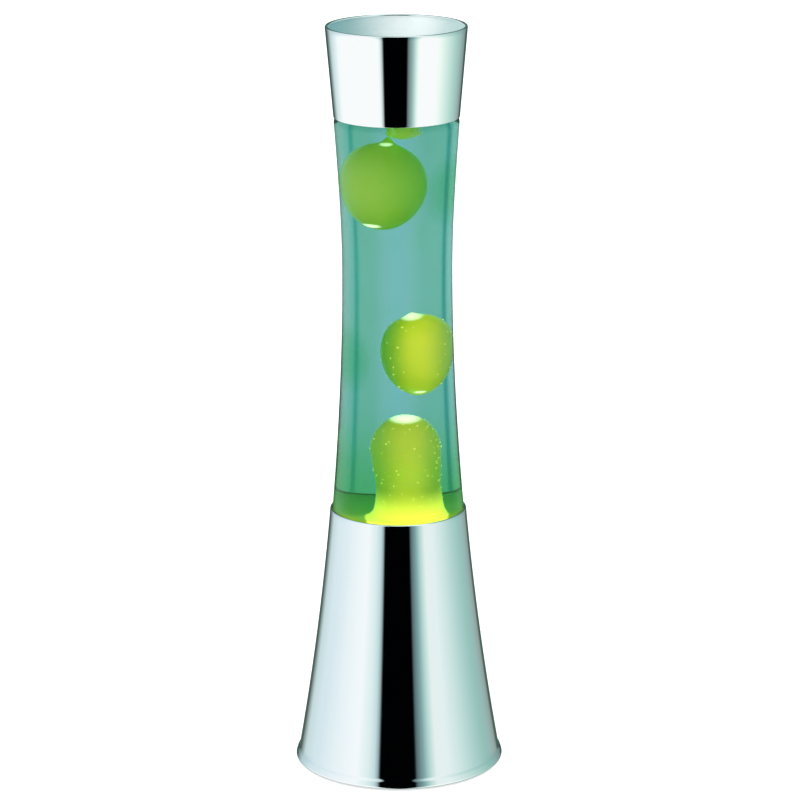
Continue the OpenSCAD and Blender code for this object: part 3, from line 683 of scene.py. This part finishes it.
def teal_liquid():
    """Dyed liquid with painted light in its colour: a painted glow, greener near the glowing pool, painted
    reflections of the wax, and painted shade under the cap.
    """
    f = Finish("teal_liquid", IOR=1.34, Roughness=0.0, Transmission_Weight=1.0,
               Specular_Tint=(0.05, 0.06, 0.06, 1))
    where = f.where()
    parts = f.split(where)
    # Painted glow of the pool: greener low down, fading to white 60 mm up.
    up = f.maths("ADD", between(f, parts["Z"], edge_z, edge_z + 60 * MM),
                 between(f, noise_value(f, where, 30.0, 2.0), 0.3, 0.7, -0.08, 0.08))
    shade = tinted(f, up, (0.50, 0.92, 0.40, 1), (1.0, 1.0, 1.0, 1))
    # Painted shade under the cap: darker teal from the shoulder up.
    painted_cap_shade = between(f, parts["Z"], shoulder_z - 2 * MM, shoulder_z + 3 * MM)
    shade = tinted(f, painted_cap_shade, shade, (0.35, 0.66, 0.58, 1))
    upper_z, lower_z = (upper_wax_low.z + upper_wax_high.z) / 2, (lower_wax_low.z + lower_wax_high.z) / 2
    # Painted reflections of the upper and lower drops, as green patches to either side.
    for place, size in (((28 * MM, 0, upper_z - 2 * MM), (20 * MM, 60 * MM, 24 * MM)),
                        ((-24 * MM, 0, lower_z), (14 * MM, 60 * MM, 21 * MM))):
        painted_wax_reflection = f.maths("MULTIPLY", within(f, parts, place, size), 0.9)
        shade = tinted(f, painted_wax_reflection, shade, (0.20, 0.78, 0.36, 1))
    f.feed("Base Color", shade)
    dye = f.wired("ShaderNodeVolumeAbsorption", {"Color": (0.0, 0.66, 0.56, 1), "Density": 31.0})
    f.join(dye.outputs[0], f.output.inputs["Volume"])
    return f.material


# Painted light on the wax: the white of its painted highlights, and the bright glow painted into its flecks.
PAINTED_WHITE_HIGHLIGHT = (3.0, 2.0, 1.4, 1)
FLECK = (0.95, 0.95, 0.35, 1)


class Wax(Finish):
    """Wax with painted light: the bulb's light from below, which comes through it, is painted as a glow,
    given as red, green and blue.
    """

    def __init__(self, name):
        super().__init__(name, Roughness=0.25, Subsurface_Weight=0.15, Subsurface_Scale=1.0, IOR=1.4,
                         Coat_Weight=1.0, Coat_IOR=1.08, Coat_Roughness=0.1, Coat_Tint=(0.80, 0.97, 0.90, 1),
                         Emission_Strength=1.0)
        self.shader.inputs["Subsurface Radius"].default_value = (3 * MM, 4 * MM, 1 * MM)
        self.spot = self.where()
        self.parts = self.split(self.spot)
        self.cloudy = noise_value(self, self.spot, 110.0, 4.0, 0.55)

    def skin(self, colour):
        return tinted(self, self.cloudy, (colour[0] * 0.9, colour[1] * 0.96, colour[2], 1), (*colour, 1))

    def upward(self, low_z, high_z, foot, top):
        # Painted glow, from the foot colour low down to the top colour high up.
        share = self.maths("ADD", between(self, self.parts["Z"], low_z, high_z),
                           between(self, self.cloudy, 0.3, 0.7, -0.15, 0.15))
        return tinted(self, share, (*foot, 1), (*top, 1))

    def outward(self, light, x, reach, edge):
        """The painted glow falls to edge at that reach to either side of x."""
        off = self.maths("ABSOLUTE", self.maths("SUBTRACT", self.parts["X"], x))
        return tinted(self, between(self, off, 0.1 * reach, reach), light, (*edge, 1))

    def finish(self, colour, light, painted_highlights=()):
        """Adds flecks that glow brighter, and painted white highlights where the light gathers, each a
        (place, size, share).
        """
        grains = self.wired("ShaderNodeTexVoronoi", {"Vector": self.spot, "Scale": 700.0})
        flecks = between(self, grains.outputs["Distance"], 0.10, 0.26, 0.25, 0.0)
        light = tinted(self, flecks, light, FLECK)
        for place, size, share in painted_highlights:
            painted_highlight = self.maths("MULTIPLY", within(self, self.parts, place, size), share)
            light = tinted(self, painted_highlight, light, PAINTED_WHITE_HIGHLIGHT)
        self.feed("Base Color", colour)
        self.feed("Emission Color", light)
        self.bump(self.cloudy, 0.12, 0.4 * MM)
        return self.material


def drop_wax(name, skin, foot, top, low_z, high_z, core, edge, painted_highlights=()):
    """core = (x, reach) is where the drop's painted glow is brightest."""
    f = Wax(name)
    light = f.outward(f.upward(low_z, high_z, foot, top), *core, edge)
    return f.finish(f.skin(skin), light, painted_highlights)


def pool_wax():
    """Painted light: a yellow glow painted in the column and in front of it, where the bulb shines through,
    green round them, and a painted highlight on the column's top.
    """
    f = Wax("pool_wax")
    x, y, z = f.parts
    light = f.upward(edge_z, pool_high.z, (0.90, 0.54, 0.04), (0.72, 0.44, 0.03))
    light = f.outward(light, column_x + 1 * MM, column_r, (0.34, 0.29, 0.02))
    # Painted glow, brightest low down, just above the bulb.
    light = tinted(f, between(f, z, edge_z + 2 * MM, edge_z + 14 * MM, 1.0, 0.0), light, (2.0, 1.15, 0.14, 1))
    off = f.maths("SUBTRACT", x, column_x + column_lean.x - 0.5 * MM)
    ahead = between(f, y, -26 * MM, 34 * MM, 0.0, 60 * MM)
    away = f.maths("SQRT", f.maths("MULTIPLY_ADD", off, off, f.maths("MULTIPLY", ahead, ahead)))
    sharp = between(f, away, 19.3 * MM, 21.2 * MM)
    soft = between(f, away, 12 * MM, 34 * MM)
    deep = between(f, z, edge_z - 6 * MM, edge_z - 1 * MM, 1.0, 0.0)
    aside = f.maths("MULTIPLY_ADD", deep, f.maths("SUBTRACT", soft, sharp), sharp)
    green = f.maths("MULTIPLY", aside, between(f, z, edge_z + 2 * MM, edge_z + 5 * MM, 1.0, 0.0))
    # Yellow where the bulb shines through and green round it, in the base colour and the glow alike: painted
    # light.
    colour = tinted(f, green, f.skin((0.55, 0.72, 0.055)), (0.17, 0.45, 0.05, 1))
    # Painted glow of the green, brighter towards the front.
    near = between(f, y, -22 * MM, -8 * MM, 1.0, 0.0)
    still = tinted(f, near, (0.16, 0.22, 0.006, 1), (0.40, 0.38, 0.015, 1))
    light = tinted(f, green, light, still)
    # Painted highlight on the column's dome.
    painted_highlight = ((column_x, -3 * MM, pool_high.z), (10 * MM, 18 * MM, 4 * MM), 0.9)
    return f.finish(colour, light, [painted_highlight])


def bubble_skin():
    """Bubbles with painted light: they glow, catching a little more of the light than the wax round them."""
    f = Finish("bubble_skin", Roughness=0.1, Emission_Strength=1.0)
    uneven = noise_value(f, f.where(), 500.0)
    f.feed("Base Color", tinted(f, uneven, (0.80, 0.88, 0.15, 1), (0.95, 0.95, 0.40, 1)))
    f.feed("Emission Color", (1.1, 0.9, 0.16, 1))
    return f.material


lower_wax_low, lower_wax_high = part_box("wax_lower_blob")
upper_wax_low, upper_wax_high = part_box("wax_upper_blob")
top_wax_low, top_wax_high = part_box("wax_top_blob")
stuff = {
    "chrome": chrome(),
    "satin_inside": satin_inside(),
    "satin_aluminium": satin_aluminium(),
    "zinc_steel": zinc_steel(),
    "brass": brass(),
    "black_paint": moulded("black_enamel", (0.018, 0.018, 0.02), 0.38, 1600.0, 0.2, 0.12, 0.25),
    "black_rubber": moulded("black_rubber", (0.022, 0.022, 0.022), 0.62, 3000.0, 0.15, 0.25, 0.3),
    "white_silicone": moulded("white_silicone", (0.78, 0.78, 0.75), 0.45, 1200.0, 0.06, 0.1, 0.1),
    "white_plastic": moulded("white_plastic", (0.80, 0.79, 0.75), 0.33, 2400.0, 0.08, 0.2, 0.12),
    "dark_plastic": moulded("dark_plastic", (0.035, 0.037, 0.04), 0.42, 2600.0, 0.2, 0.15, 0.2),
    "brown_pvc": moulded("brown_lead", (0.19, 0.075, 0.03), 0.35, 900.0, 0.15, 0.1, 0.1),
    "blue_pvc": moulded("blue_lead", (0.035, 0.13, 0.45), 0.35, 900.0, 0.15, 0.1, 0.1),
    "green_yellow_pvc": striped_lead(),
    "clear_glass": bottle_glass(),
    "bulb_glass": bulb_glass(),
    "black_glass": black_glass(),
    "tungsten": tungsten(),
    "teal_liquid": teal_liquid(),
    "crown_tinplate": moulded("crown_tinplate", (0.62, 0.60, 0.56), 0.3, 1500.0, 0.1, 0.05, 0.05),
    "pool_wax": pool_wax(),
    # The drops are one wax in lit and shaded copies: skin colours and painted glows differ with how much of
    # the bulb's light reaches each, and each has painted highlights.
    "lower_wax": drop_wax(
        "lower_wax", (0.58, 0.73, 0.04), (0.62, 0.44, 0.008), (0.85, 0.58, 0.01), lower_wax_low.z,
        lower_wax_high.z, (9 * MM, 15 * MM), (0.16, 0.22, 0.006),
        [((4.5 * MM, -4 * MM, lower_wax_high.z), (7 * MM, 16 * MM, 2.6 * MM), 0.75),
         ((9.5 * MM, -7 * MM, lower_wax_low.z + 2.4 * MM), (3.5 * MM, 4 * MM, 1.2 * MM), 0.7)]),
    "upper_wax": drop_wax(
        "upper_wax", (0.36, 0.64, 0.055), (0.26, 0.31, 0.02), (0.24, 0.30, 0.02), upper_wax_low.z,
        upper_wax_high.z, (-12 * MM, 24 * MM), (0.17, 0.25, 0.015),
        [((-4.2 * MM, -4 * MM, upper_wax_high.z - 0.6 * MM), (3.4 * MM, 8 * MM, 1 * MM), 0.55),
         ((-10.5 * MM, -5 * MM, upper_wax_low.z + 2.8 * MM), (5 * MM, 9 * MM, 1.5 * MM), 0.8)]),
    "top_wax": drop_wax(
        "top_wax", (0.48, 0.66, 0.08), (0.46, 0.36, 0.05), (0.46, 0.36, 0.05), top_wax_low.z,
        top_wax_high.z, (4 * MM, 12 * MM), (0.30, 0.26, 0.03),
        [((-2 * MM, -9 * MM, cap_low.z - 4.2 * MM), (6 * MM, 9 * MM, 1.2 * MM), 0.4)]),
    "bubble": bubble_skin(),
}


# Chromed base and cap -------------------------------------------------------------------------------


def base_shell():
    flare_z, step, hem = lip_clear + 2.6 * bead_r, 0.25 * MM, 0.4 * MM
    outline = arc(foot_r - bead_r, lip_clear + bead_r, bead_r, -180, 25, 28)
    for z in spaced(flare_z, side_low_z, 14):
        t = (z - flare_z) / (side_low_z - flare_z)
        outline.append((base_r(z) + (lip_flare - step) * (1 - ease(t)), z))
    outline += [(base_r(z), z) for z in spaced(side_low_z, side_top_z, 70)[1:]]
    outline += arc(base_top_r - base_wall, side_top_z, base_wall, 15, 90, 8)
    outline += [(base_r(z) - base_wall, z) for z in reversed(spaced(side_low_z, side_top_z, 24))]
    outline.append((base_r(side_low_z) - base_wall + hem, lip_clear + 1.6 * bead_r))
    piece = turned("chromed_base", nearest_kept(outline), stuff["chrome"], closed=True)
    drill(piece, Vector((0, base_r(cord_z), cord_z)), cord_hole_r, drill_h)
    return piece


def drill(piece, middle, radius, depth):
    """Cuts a round hole along Y through the wall."""
    bm = bmesh.new()
    turn = Matrix.Translation(middle) @ Matrix.Rotation(math.radians(90), 4, "X")
    bmesh.ops.create_cone(bm, cap_ends=True, segments=64, radius1=radius, radius2=radius, depth=depth,
                          matrix=turn)
    bit = finished("bit", bm)
    cut = piece.modifiers.new("Hole", "BOOLEAN")
    cut.operation, cut.solver, cut.object = "DIFFERENCE", "EXACT", bit
    plain_mesh(piece)
    bpy.data.objects.remove(bit)


def cap_shell():
    foot_z, roll_z, edge = cap_low.z, cap_high.z - roll_r, 0.3 * MM
    outside = [(cap_foot_r - cap_wall, foot_z)] + arc(cap_foot_r - edge, foot_z + edge, edge, -90, 0, 5)
    outside += [(cap_foot_r + (cap_top_r - cap_foot_r) * t, foot_z + (roll_z - foot_z) * t)
                for t in spaced(0.02, 1, 24)]
    rolled = arc(cap_top_r - roll_r, roll_z, roll_r, 0, 195, 30)
    inside = arc(cap_top_r - roll_r, roll_z, roll_r - cap_wall, 195, 0, 20)
    lining = [(cap_foot_r - cap_wall + (cap_top_r - cap_foot_r) * t, foot_z + (roll_z - foot_z) * t)
              for t in reversed(spaced(0.01, 0.99, 20))]
    outline = nearest_kept(outside + rolled + inside + lining)
    piece = turned("chromed_cap", outline, stuff["chrome"], stuff["satin_inside"], closed=True)
    for face in piece.data.polygons:
        middle = face.center
        inward = face.normal.x * middle.x + face.normal.y * middle.y < 0
        deep = middle.z < roll_z and math.hypot(middle.x, middle.y) < cap_top_r - cap_wall + 0.1 * MM
        face.material_index = 1 if inward and deep else 0
    return piece


# Bottle, liquid and wax -----------------------------------------------------------------------------


def glass_bottle():
    stand_r, bend = ring_r - 2.5 * MM, 1 * MM
    under = [(r, seat_z + punt_h * (0.5 + 0.5 * math.cos(math.pi * r / stand_r)))
             for r in spaced(0, stand_r, 16)]
    outside = arc(ring_r, heel_z, heel_r, -90, 0, 20)
    outside += [(glass_r(z), z) for z in spaced(edge_z, shoulder_z, 110)]
    bend_end = 90 - math.degrees(shoulder_fall)
    outside += arc(shoulder_r - shoulder_bend, shoulder_z, shoulder_bend, 4, bend_end, 14)
    neck_r = finish_r - 0.9 * MM
    neck_z = slope_z(0, neck_r)
    outside += [(neck_r, neck_z), (neck_r, neck_z + 2.2 * MM)]
    outside += arc(finish_r - 0.8 * MM, neck_z + 3.4 * MM, 0.8 * MM, -60, 0, 5)
    outside += arc(finish_r - bend, finish_z - bend, bend, 0, 90, 6)
    outside += arc(bore_r + bend, finish_z - bend, bend, 90, 180, 6)
    inside = [(bore_r, slope_z(glass_wall, bore_r))] + list(reversed(shoulder_inside(0)))
    inside += list(reversed(cavity_side(0, shoulder_z))) + list(reversed(cavity_floor(0)))
    outline = nearest_kept(under + outside + inside)
    return turned("glass_bottle_blown", outline, stuff["clear_glass"], crease=60)


def liquid():
    """Fills the whole bottle, so that the wax can move through it. It reaches a hair into the glass, which
    lets light pass from one to the other with no air between."""
    bite = -0.12 * MM
    outline = cavity_floor(bite) + cavity_side(bite, shoulder_z) + shoulder_inside(bite)
    outline += [(fill_r + 0.3 * MM, fill_z + 0.05 * MM), (fill_r - 0.6 * MM, fill_z - 0.45 * MM)]
    outline += [(r, fill_z - 0.6 * MM) for r in spaced(fill_r - 2 * MM, 0, 4)]
    return turned("teal_liquid_fill", nearest_kept(outline), stuff["teal_liquid"], crease=60)


def wobbled(piece, size, amount, seed):
    """Lets a soft shape swell and shrink a little, as a drifting drop does."""
    shift = Vector((seed, seed * 1.7, -seed))
    for v in piece.data.vertices:
        way = noise.noise_vector(v.co / size + shift)
        v.co += way * amount
    piece.data.update()
    return piece


def drop(name, low, high, tip, tail, tail_at, tail_width, material, seed, wobble=0.5 * MM, slim=1.0):
    """A drop of wax, narrower above where tip is over 0, and drawn up at tail_at to a soft tail."""
    middle, half = (low + high) / 2, (high - low) / 2
    levels, rings = 72, []
    for i in range(levels + 1):
        a = math.radians(180 * i / levels - 90)
        r = half.x * slim * max(math.cos(a), 0) * (1 - tip * math.sin(a)) / (1 + tip * tip)
        rings.append((middle.x, middle.y, r if 0 < i < levels else 0, middle.z + half.z * math.sin(a)))
    piece = stacked(name, rings, material, steps=ROUND // 2, crease=SMOOTH)
    wobbled(piece, 14 * MM, wobble, seed)
    for v in piece.data.vertices:
        if v.co.z > middle.z:
            away = math.hypot(v.co.x - middle.x - tail_at[0], v.co.y - middle.y - tail_at[1])
            v.co.z += tail * math.exp(-((away / tail_width) ** 2)) * ease((v.co.z - middle.z) / half.z)
    return piece


def column_side_r(height):
    """Radius of the wax column below its dome: waisted, and spread at its foot."""
    waist_h, spread, foot_h = 17 * MM, 3.6 * MM, 2.5 * MM
    if height > waist_h:
        return column_waist_r + (column_r - column_waist_r) * ease((height - waist_h) / (dome_h - waist_h))
    foot = 1 * MM * max(1 - height / foot_h, 0) ** 2
    return column_waist_r + spread * (1 - height / waist_h) ** 1.8 + foot


def wax_pool():
    """The molten pool on the bottle's floor and the column that stands up out of it."""
    film, lean_h, dome_steps = 0.25 * MM, Vector((34, 20)) * MM, 32
    rings = [(column_x, 0, 0, pool_z + column_h)]
    for i in range(1, dome_steps + 1):
        a = math.pi / 2 * i / dome_steps
        height = dome_h + (column_h - dome_h) * math.cos(a)
        rings.append((column_x, 0, column_r * math.sin(a), pool_z + height))
    for height in reversed(spaced(0, dome_h, 44)[:-1]):
        lean_x, lean_y = (a * (1 - ease(height / b)) for a, b in zip(column_lean, lean_h))
        rings.append((column_x + lean_x, lean_y, column_side_r(height), pool_z + height))
    rim = glass_r(pool_z) - glass_wall - film
    last_x, last_y, last_r, _ = rings[-1]
    for t in spaced(0, 1, 12)[1:]:
        climb = 0.15 * MM * ease((t - 0.7) / 0.3)
        rings.append((last_x * (1 - t), last_y * (1 - t), last_r + (rim - last_r) * t, pool_z + climb))
    below = nearest_kept(cavity_floor(film) + cavity_side(film, pool_z - 0.4 * MM))
    rings += [(0, 0, r, z) for r, z in reversed(below)]
    piece = stacked("wax_pool_and_column", rings, stuff["pool_wax"], steps=180, crease=SMOOTH)
    for v in piece.data.vertices:
        lift = ease((v.co.z - pool_z - 3 * MM) / (10 * MM))
        v.co += noise.noise_vector(v.co / (13 * MM)) * 0.5 * MM * lift
    return piece


# Bulb, holder and crown cap -------------------------------------------------------------------------


def threaded(name, outline, end, material):
    """A piece turned from (radius, height) points and points of the thread, (distance from it, height, True).

    The right-handed round thread fades out above and below, to its root with end=0 or its crest with end=1.
    """
    low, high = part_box("bulb_screw_shell")
    low_z, high_z = low.z + 1 * MM, high.z - collar_h

    def point(k, turn):
        r, z, *follows = outline[k]
        if follows:
            fade = ease((z - low_z) / thread_pitch) * ease((high_z - z) / thread_pitch)
            wave = 0.5 + 0.5 * math.cos(TURN * z / thread_pitch - turn)
            r += crest_r - thread_depth * (1 - end - (wave - end) * fade)
        return r * math.cos(turn), r * math.sin(turn), z
    rings = [(0, 0, crest_r, z) for _, z, *_ in outline]
    return stacked(name, rings, material, closed=True, steps=THREAD_ROUND, place=point)


def bulb_screw_shell():
    """Thin shell rolled to the thread, with a flared collar round the bulb's neck."""
    low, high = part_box("bulb_screw_shell")
    wall, collar_z = 0.15 * MM, high.z - collar_h
    heights = spaced(low.z + 1.2 * MM, collar_z - 0.4 * MM, 90)
    outline = [(crest_r - 0.8 * MM, low.z), (crest_r - 0.55 * MM, low.z + 0.5 * MM)]
    outline += [(0, z, True) for z in heights]
    outline += [(high.x - 0.1 * MM, collar_z + 0.6 * MM), (high.x, collar_z + 1 * MM), (high.x, high.z)]
    outline += [(high.x - 0.5 * MM, high.z), (crest_r - thread_depth - wall, collar_z)]
    outline += [(-wall, z, True) for z in reversed(heights)] + [(crest_r - 0.8 * MM, low.z + 0.5 * MM)]
    return threaded("rolled_screw_shell", outline, 0, stuff["zinc_steel"])


def holder_thread_shell():
    """Brass shell rolled to the same thread, a little wider, with a flange at either end."""
    low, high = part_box("holder_thread_shell")
    gap, wall, flange = 0.35 * MM, 0.3 * MM, 0.5 * MM
    heights = spaced(low.z + 1 * MM, high.z - 1 * MM, 84)
    outline = [(crest_r + gap, low.z)] + [(gap, z, True) for z in heights]
    outline += [(crest_r + gap + wall, high.z), (high.x, high.z), (high.x, high.z - flange)]
    outline += [(crest_r + gap + 2 * wall, high.z - flange)]
    outline += [(gap + wall, z, True) for z in reversed(heights[:-1])]
    outline += [(crest_r + gap + wall, low.z + flange), (high.x, low.z + flange), (high.x, low.z)]
    return threaded("rolled_holder_shell", outline, 1, stuff["brass"])


def crown_cap():
    """Pressed crown with flutes that deepen down its skirt."""
    low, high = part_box("crown_cap")
    sheet, bend, flutes, flute_depth = 0.4 * MM, 1.5 * MM, 21, 0.8 * MM
    centre_r, centre_z = finish_r + 0.2 * MM + sheet - bend, high.z - bend
    side = [(t**1.3, centre_z - (centre_z - low.z) * t) for t in spaced(0.08, 1, 14)]
    outline = [(0, high.z)] + arc(centre_r, centre_z, bend, 90, 5, 10)
    outline += [(centre_r + bend + (high.x - centre_r - bend) * out, z) for out, z in side]
    outline += [(centre_r + bend + (high.x - centre_r - bend) * out - sheet, z) for out, z in reversed(side)]
    outline += arc(centre_r, centre_z, bend - sheet, 5, 90, 10) + [(0, high.z - sheet)]

    def point(k, turn):
        r, z = outline[k]
        r -= flute_depth * ease((centre_z - z) / (centre_z - low.z)) * (0.5 - 0.5 * math.cos(flutes * turn))
        return r * math.cos(turn), r * math.sin(turn), z
    rings = [(0, 0, r, z) for r, z in outline]
    return stacked("fluted_crown_cap", rings, stuff["crown_tinplate"], steps=FLUTED_ROUND, crease=50,
                   place=point)


def bubbles(name, source, per_area, above, seed):
    return grown(name, bubbles_tree, {
        "Per square metre": per_area, "Least radius": 0.1 * MM, "Most radius": 0.4 * MM,
        "Above height": above, "Seed": seed, "Material": stuff["bubble"]}, source)


# Stage ----------------------------------------------------------------------------------------------


def floor():
    """Pale table, wide enough that its edge is never seen."""
    bm = bmesh.new()
    bmesh.ops.create_circle(bm, cap_ends=True, segments=96, radius=4.0)
    f = Finish("pale_floor", Roughness=0.9, Base_Color=(0.9, 0.9, 0.9, 1), Specular_IOR_Level=0.0,
               Emission_Color=(1, 1, 1, 1), Emission_Strength=0.55)
    piece = finished("floor", bm, f.material)
    piece.visible_glossy = False
    piece.visible_transmission = False
    return piece


# What stands round the lamp, by direction in degrees to the right of its front. WALLS is what its mirrors
# show: white walls, the dark gap where the camera stands, and darker ends. BACKLIGHT is what shows through
# the bottle: an even white, bluer behind the lamp, with a thin dark upright on either side.
BLACK = (0.0002, 0.0003, 0.0006)
WALLS = [
    (-180, (0.10, 0.22, 0.16)), (-165, (0.05, 0.10, 0.08)), (-156, (0.05, 0.08, 0.08)),
    (-147, (0.20, 0.29, 0.29)), (-136, (0.46, 0.62, 0.64)), (-114, (0.66, 0.80, 0.85)),
    (-74, (0.86, 0.93, 0.96)), (-50, (0.95, 0.98, 1.00)), (-35, (0.74, 0.87, 0.87)),
    (-28, (0.56, 0.72, 0.74)), (-24, (0.30, 0.40, 0.42)), (-22, BLACK), (18, BLACK),
    (20, (0.09, 0.14, 0.15)), (28, (0.22, 0.39, 0.39)), (35, (0.48, 0.70, 0.67)),
    (43, (0.82, 0.90, 0.88)), (57, (0.81, 0.90, 0.90)), (74, (0.64, 0.81, 0.78)),
    (92, (0.47, 0.68, 0.65)), (115, (0.30, 0.54, 0.49)), (130, (0.27, 0.44, 0.43)),
    (148, (0.20, 0.29, 0.28)), (156, (0.05, 0.08, 0.08)), (165, (0.05, 0.10, 0.08)),
    (180, (0.10, 0.22, 0.16)),
]
BACKLIGHT = [
    (-180, (0.88, 0.85, 1.02)), (-174, (0.90, 0.82, 0.95)), (-170, (0.74, 0.78, 0.80)),
    (-166, (0.62, 0.74, 0.73)), (-155, (0.51, 0.70, 0.66)), (-149, (0.38, 0.66, 0.64)),
    (-146, (0.07, 0.42, 0.40)), (-143, (0.06, 0.40, 0.42)), (-139, (0.40, 0.64, 0.64)),
    (-133, (0.56, 0.76, 0.74)), (-90, (1.1, 1.0, 1.0)), (0, (1.0, 1.0, 1.0)),
    (90, (1.1, 1.0, 1.0)), (128, (0.52, 0.62, 0.60)), (140, (0.48, 0.67, 0.62)),
    (149, (0.36, 0.65, 0.63)), (151.5, (0.09, 0.51, 0.45)), (153.5, (0.09, 0.51, 0.46)),
    (156.5, (0.45, 0.69, 0.63)), (162, (0.55, 0.72, 0.66)), (167, (0.62, 0.74, 0.71)),
    (174, (0.88, 0.82, 0.93)), (180, (0.88, 0.85, 1.02)),
]


def ramp(t, share, stops):
    """A colour for each direction from a list of (degrees, colour)."""
    node = t.wired("ShaderNodeValToRGB", {0: share})
    elements = node.color_ramp.elements
    elements.remove(elements[-1])
    for k, (degrees, colour) in enumerate(stops):
        place = degrees / 360 + 0.5
        stop = elements[0] if k == 0 else elements.new(place)
        stop.position, stop.color = place, (*colour, 1)
    return node.outputs[0]


def studio():
    """The walls are seen in mirrors and the backlight through glass. All else is lit by plain white."""
    world = bpy.data.worlds.new("studio")
    world.use_nodes = True
    t = Tree(world.node_tree)
    x, y, z = t.split(t.add("ShaderNodeTexCoord").outputs["Generated"])
    turn = t.maths("ARCTAN2", x, t.maths("MULTIPLY", y, -1.0))
    share = t.maths("MULTIPLY_ADD", turn, 1 / TURN, 0.5)
    canopy = tinted(t, between(t, x, -0.75, 0.35), (0.20, 0.42, 0.42, 1), (1.25, 1.4, 1.38, 1))
    overhead = between(t, z, 0.84, 0.97)
    low_down = between(t, z, -0.30, -0.16, 1.0, 0.0)
    table = tinted(t, low_down, ramp(t, share, WALLS), (1.5, 1.3, 1.25, 1), blend_type="MULTIPLY",
                   clamp_result=True)
    walls = tinted(t, overhead, table, canopy)
    path = t.add("ShaderNodeLightPath")
    light = t.tree.nodes["Background"]
    lit = tinted(t, path.outputs["Is Glossy Ray"], (1, 1, 1, 1), walls)
    seen = tinted(t, path.outputs["Is Transmission Ray"], lit, ramp(t, share, BACKLIGHT))
    t.join(seen, light.inputs["Color"])
    bpy.context.scene.world = world


def camera():
    """Looks down a little at the whole lamp through a long lens."""
    data = bpy.data.cameras.new("camera")
    data.lens, data.sensor_width = 160.4, 36
    data.clip_start, data.clip_end = 0.05, 30
    eye = bpy.data.objects.new("camera", data)
    bpy.context.scene.collection.objects.link(eye)
    down, yaw, roll = 15.19, -0.037, -0.22  # degrees
    distance, eye_z = 1.8, 0.686
    turn = Matrix()
    for angle, axis in ((yaw, "Z"), (90 - down, "X"), (roll, "Z")):
        turn = turn @ Matrix.Rotation(math.radians(angle), 4, axis)
    eye.matrix_world = Matrix.Translation((0, -distance, eye_z)) @ turn
    bpy.context.scene.camera = eye


# Assembly -------------------------------------------------------------------------------------------


def stands_for(piece, body, slot, *replaced):
    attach(piece, body)
    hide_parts(*replaced)
    return piece


camera()
studio()
floor()
bpy.context.scene.view_settings.view_transform = "Standard"
wound, bubbles_tree = wire_tree(), bubble_tree()

for part in frame["record"]["subparts"]:
    if part["material_slot"] in stuff:
        for s in nodes[part["node"]].material_slots:
            s.material = stuff[part["material_slot"]]

stands_for(base_shell(), "base", "chrome", "base_shell")
stands_for(cap_shell(), "cap", "chrome", "cap_shell")
stands_for(glass_bottle(), "bottle", "clear_glass", "glass_bottle")
stands_for(liquid(), "bottle", "teal_liquid", "liquid")
pool = stands_for(wax_pool(), "bottle", "green_wax", "wax_pool")
lower = drop("lower_wax_drop", lower_wax_low, lower_wax_high, -0.10, 1.4 * MM, (-2.8 * MM, 0), 2.4 * MM,
             stuff["lower_wax"], 3.0)
upper = drop("upper_wax_drop", upper_wax_low, upper_wax_high, -0.02, 3.2 * MM, (2.4 * MM, 0), 2.0 * MM,
             stuff["upper_wax"], 7.0, 0.35 * MM)
shift = Vector((-1.5, 0, 0)) * MM
top = drop("top_wax_drop", top_wax_low + shift, top_wax_high + shift, -0.42, 0, (0, 0), 3 * MM,
           stuff["top_wax"], 11.0, 0.2 * MM, 1.35)
stands_for(lower, "lower_wax", "green_wax", "wax_lower_blob")
stands_for(upper, "upper_wax", "green_wax", "wax_upper_blob")
stands_for(top, "bottle", "green_wax", "wax_top_blob")

# Name, what it sits on, count to the square metre, lowest height, seed and body
specks = (("column_bubbles", pool, 32000.0, pool_z + 6 * MM, 4, "bottle"),
          ("lower_drop_bubbles", lower, 26000.0, 0.0, 9, "lower_wax"))
for name, source, per_area, above, seed, body in specks:
    made = bubbles(name, source, per_area, above, seed)
    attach(made, body)

stands_for(bulb_screw_shell(), "bulb", "zinc_steel", "bulb_screw_shell")
stands_for(holder_thread_shell(), "base", "brass", "holder_thread_shell")
stands_for(crown_cap(), "bottle", "crown_tinplate", "crown_cap")

coil_low, coil_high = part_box("heat_coil")
filament_low, filament_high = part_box("bulb_filament")
coil_r, filament_r = (coil_high.z - coil_low.z) / 2, (filament_high.z - filament_low.z) / 2
coil_wire_r, filament_wire_r = 0.35 * MM, 0.1 * MM
coil = grown("wound_heat_coil", wound, {
    "Ring radius": coil_high.x - coil_r, "Coil radius": coil_r - coil_wire_r, "Wire radius": coil_wire_r,
    "Turns": 110.0, "Length": 0.0, "Height": (coil_low.z + coil_high.z) / 2, "Points": 1760, "Sides": 6,
    "Material": stuff["zinc_steel"]})
filament = grown("wound_filament", wound, {
    "Ring radius": 0.0, "Coil radius": filament_r - filament_wire_r, "Wire radius": filament_wire_r,
    "Turns": 24.0, "Length": filament_high.x - filament_low.x, "Points": 480, "Sides": 8,
    "Height": (filament_low.z + filament_high.z) / 2, "Material": stuff["tungsten"]})
stands_for(coil, "bottle", "zinc_steel", "heat_coil")
stands_for(filament, "bulb", "tungsten", "bulb_filament")
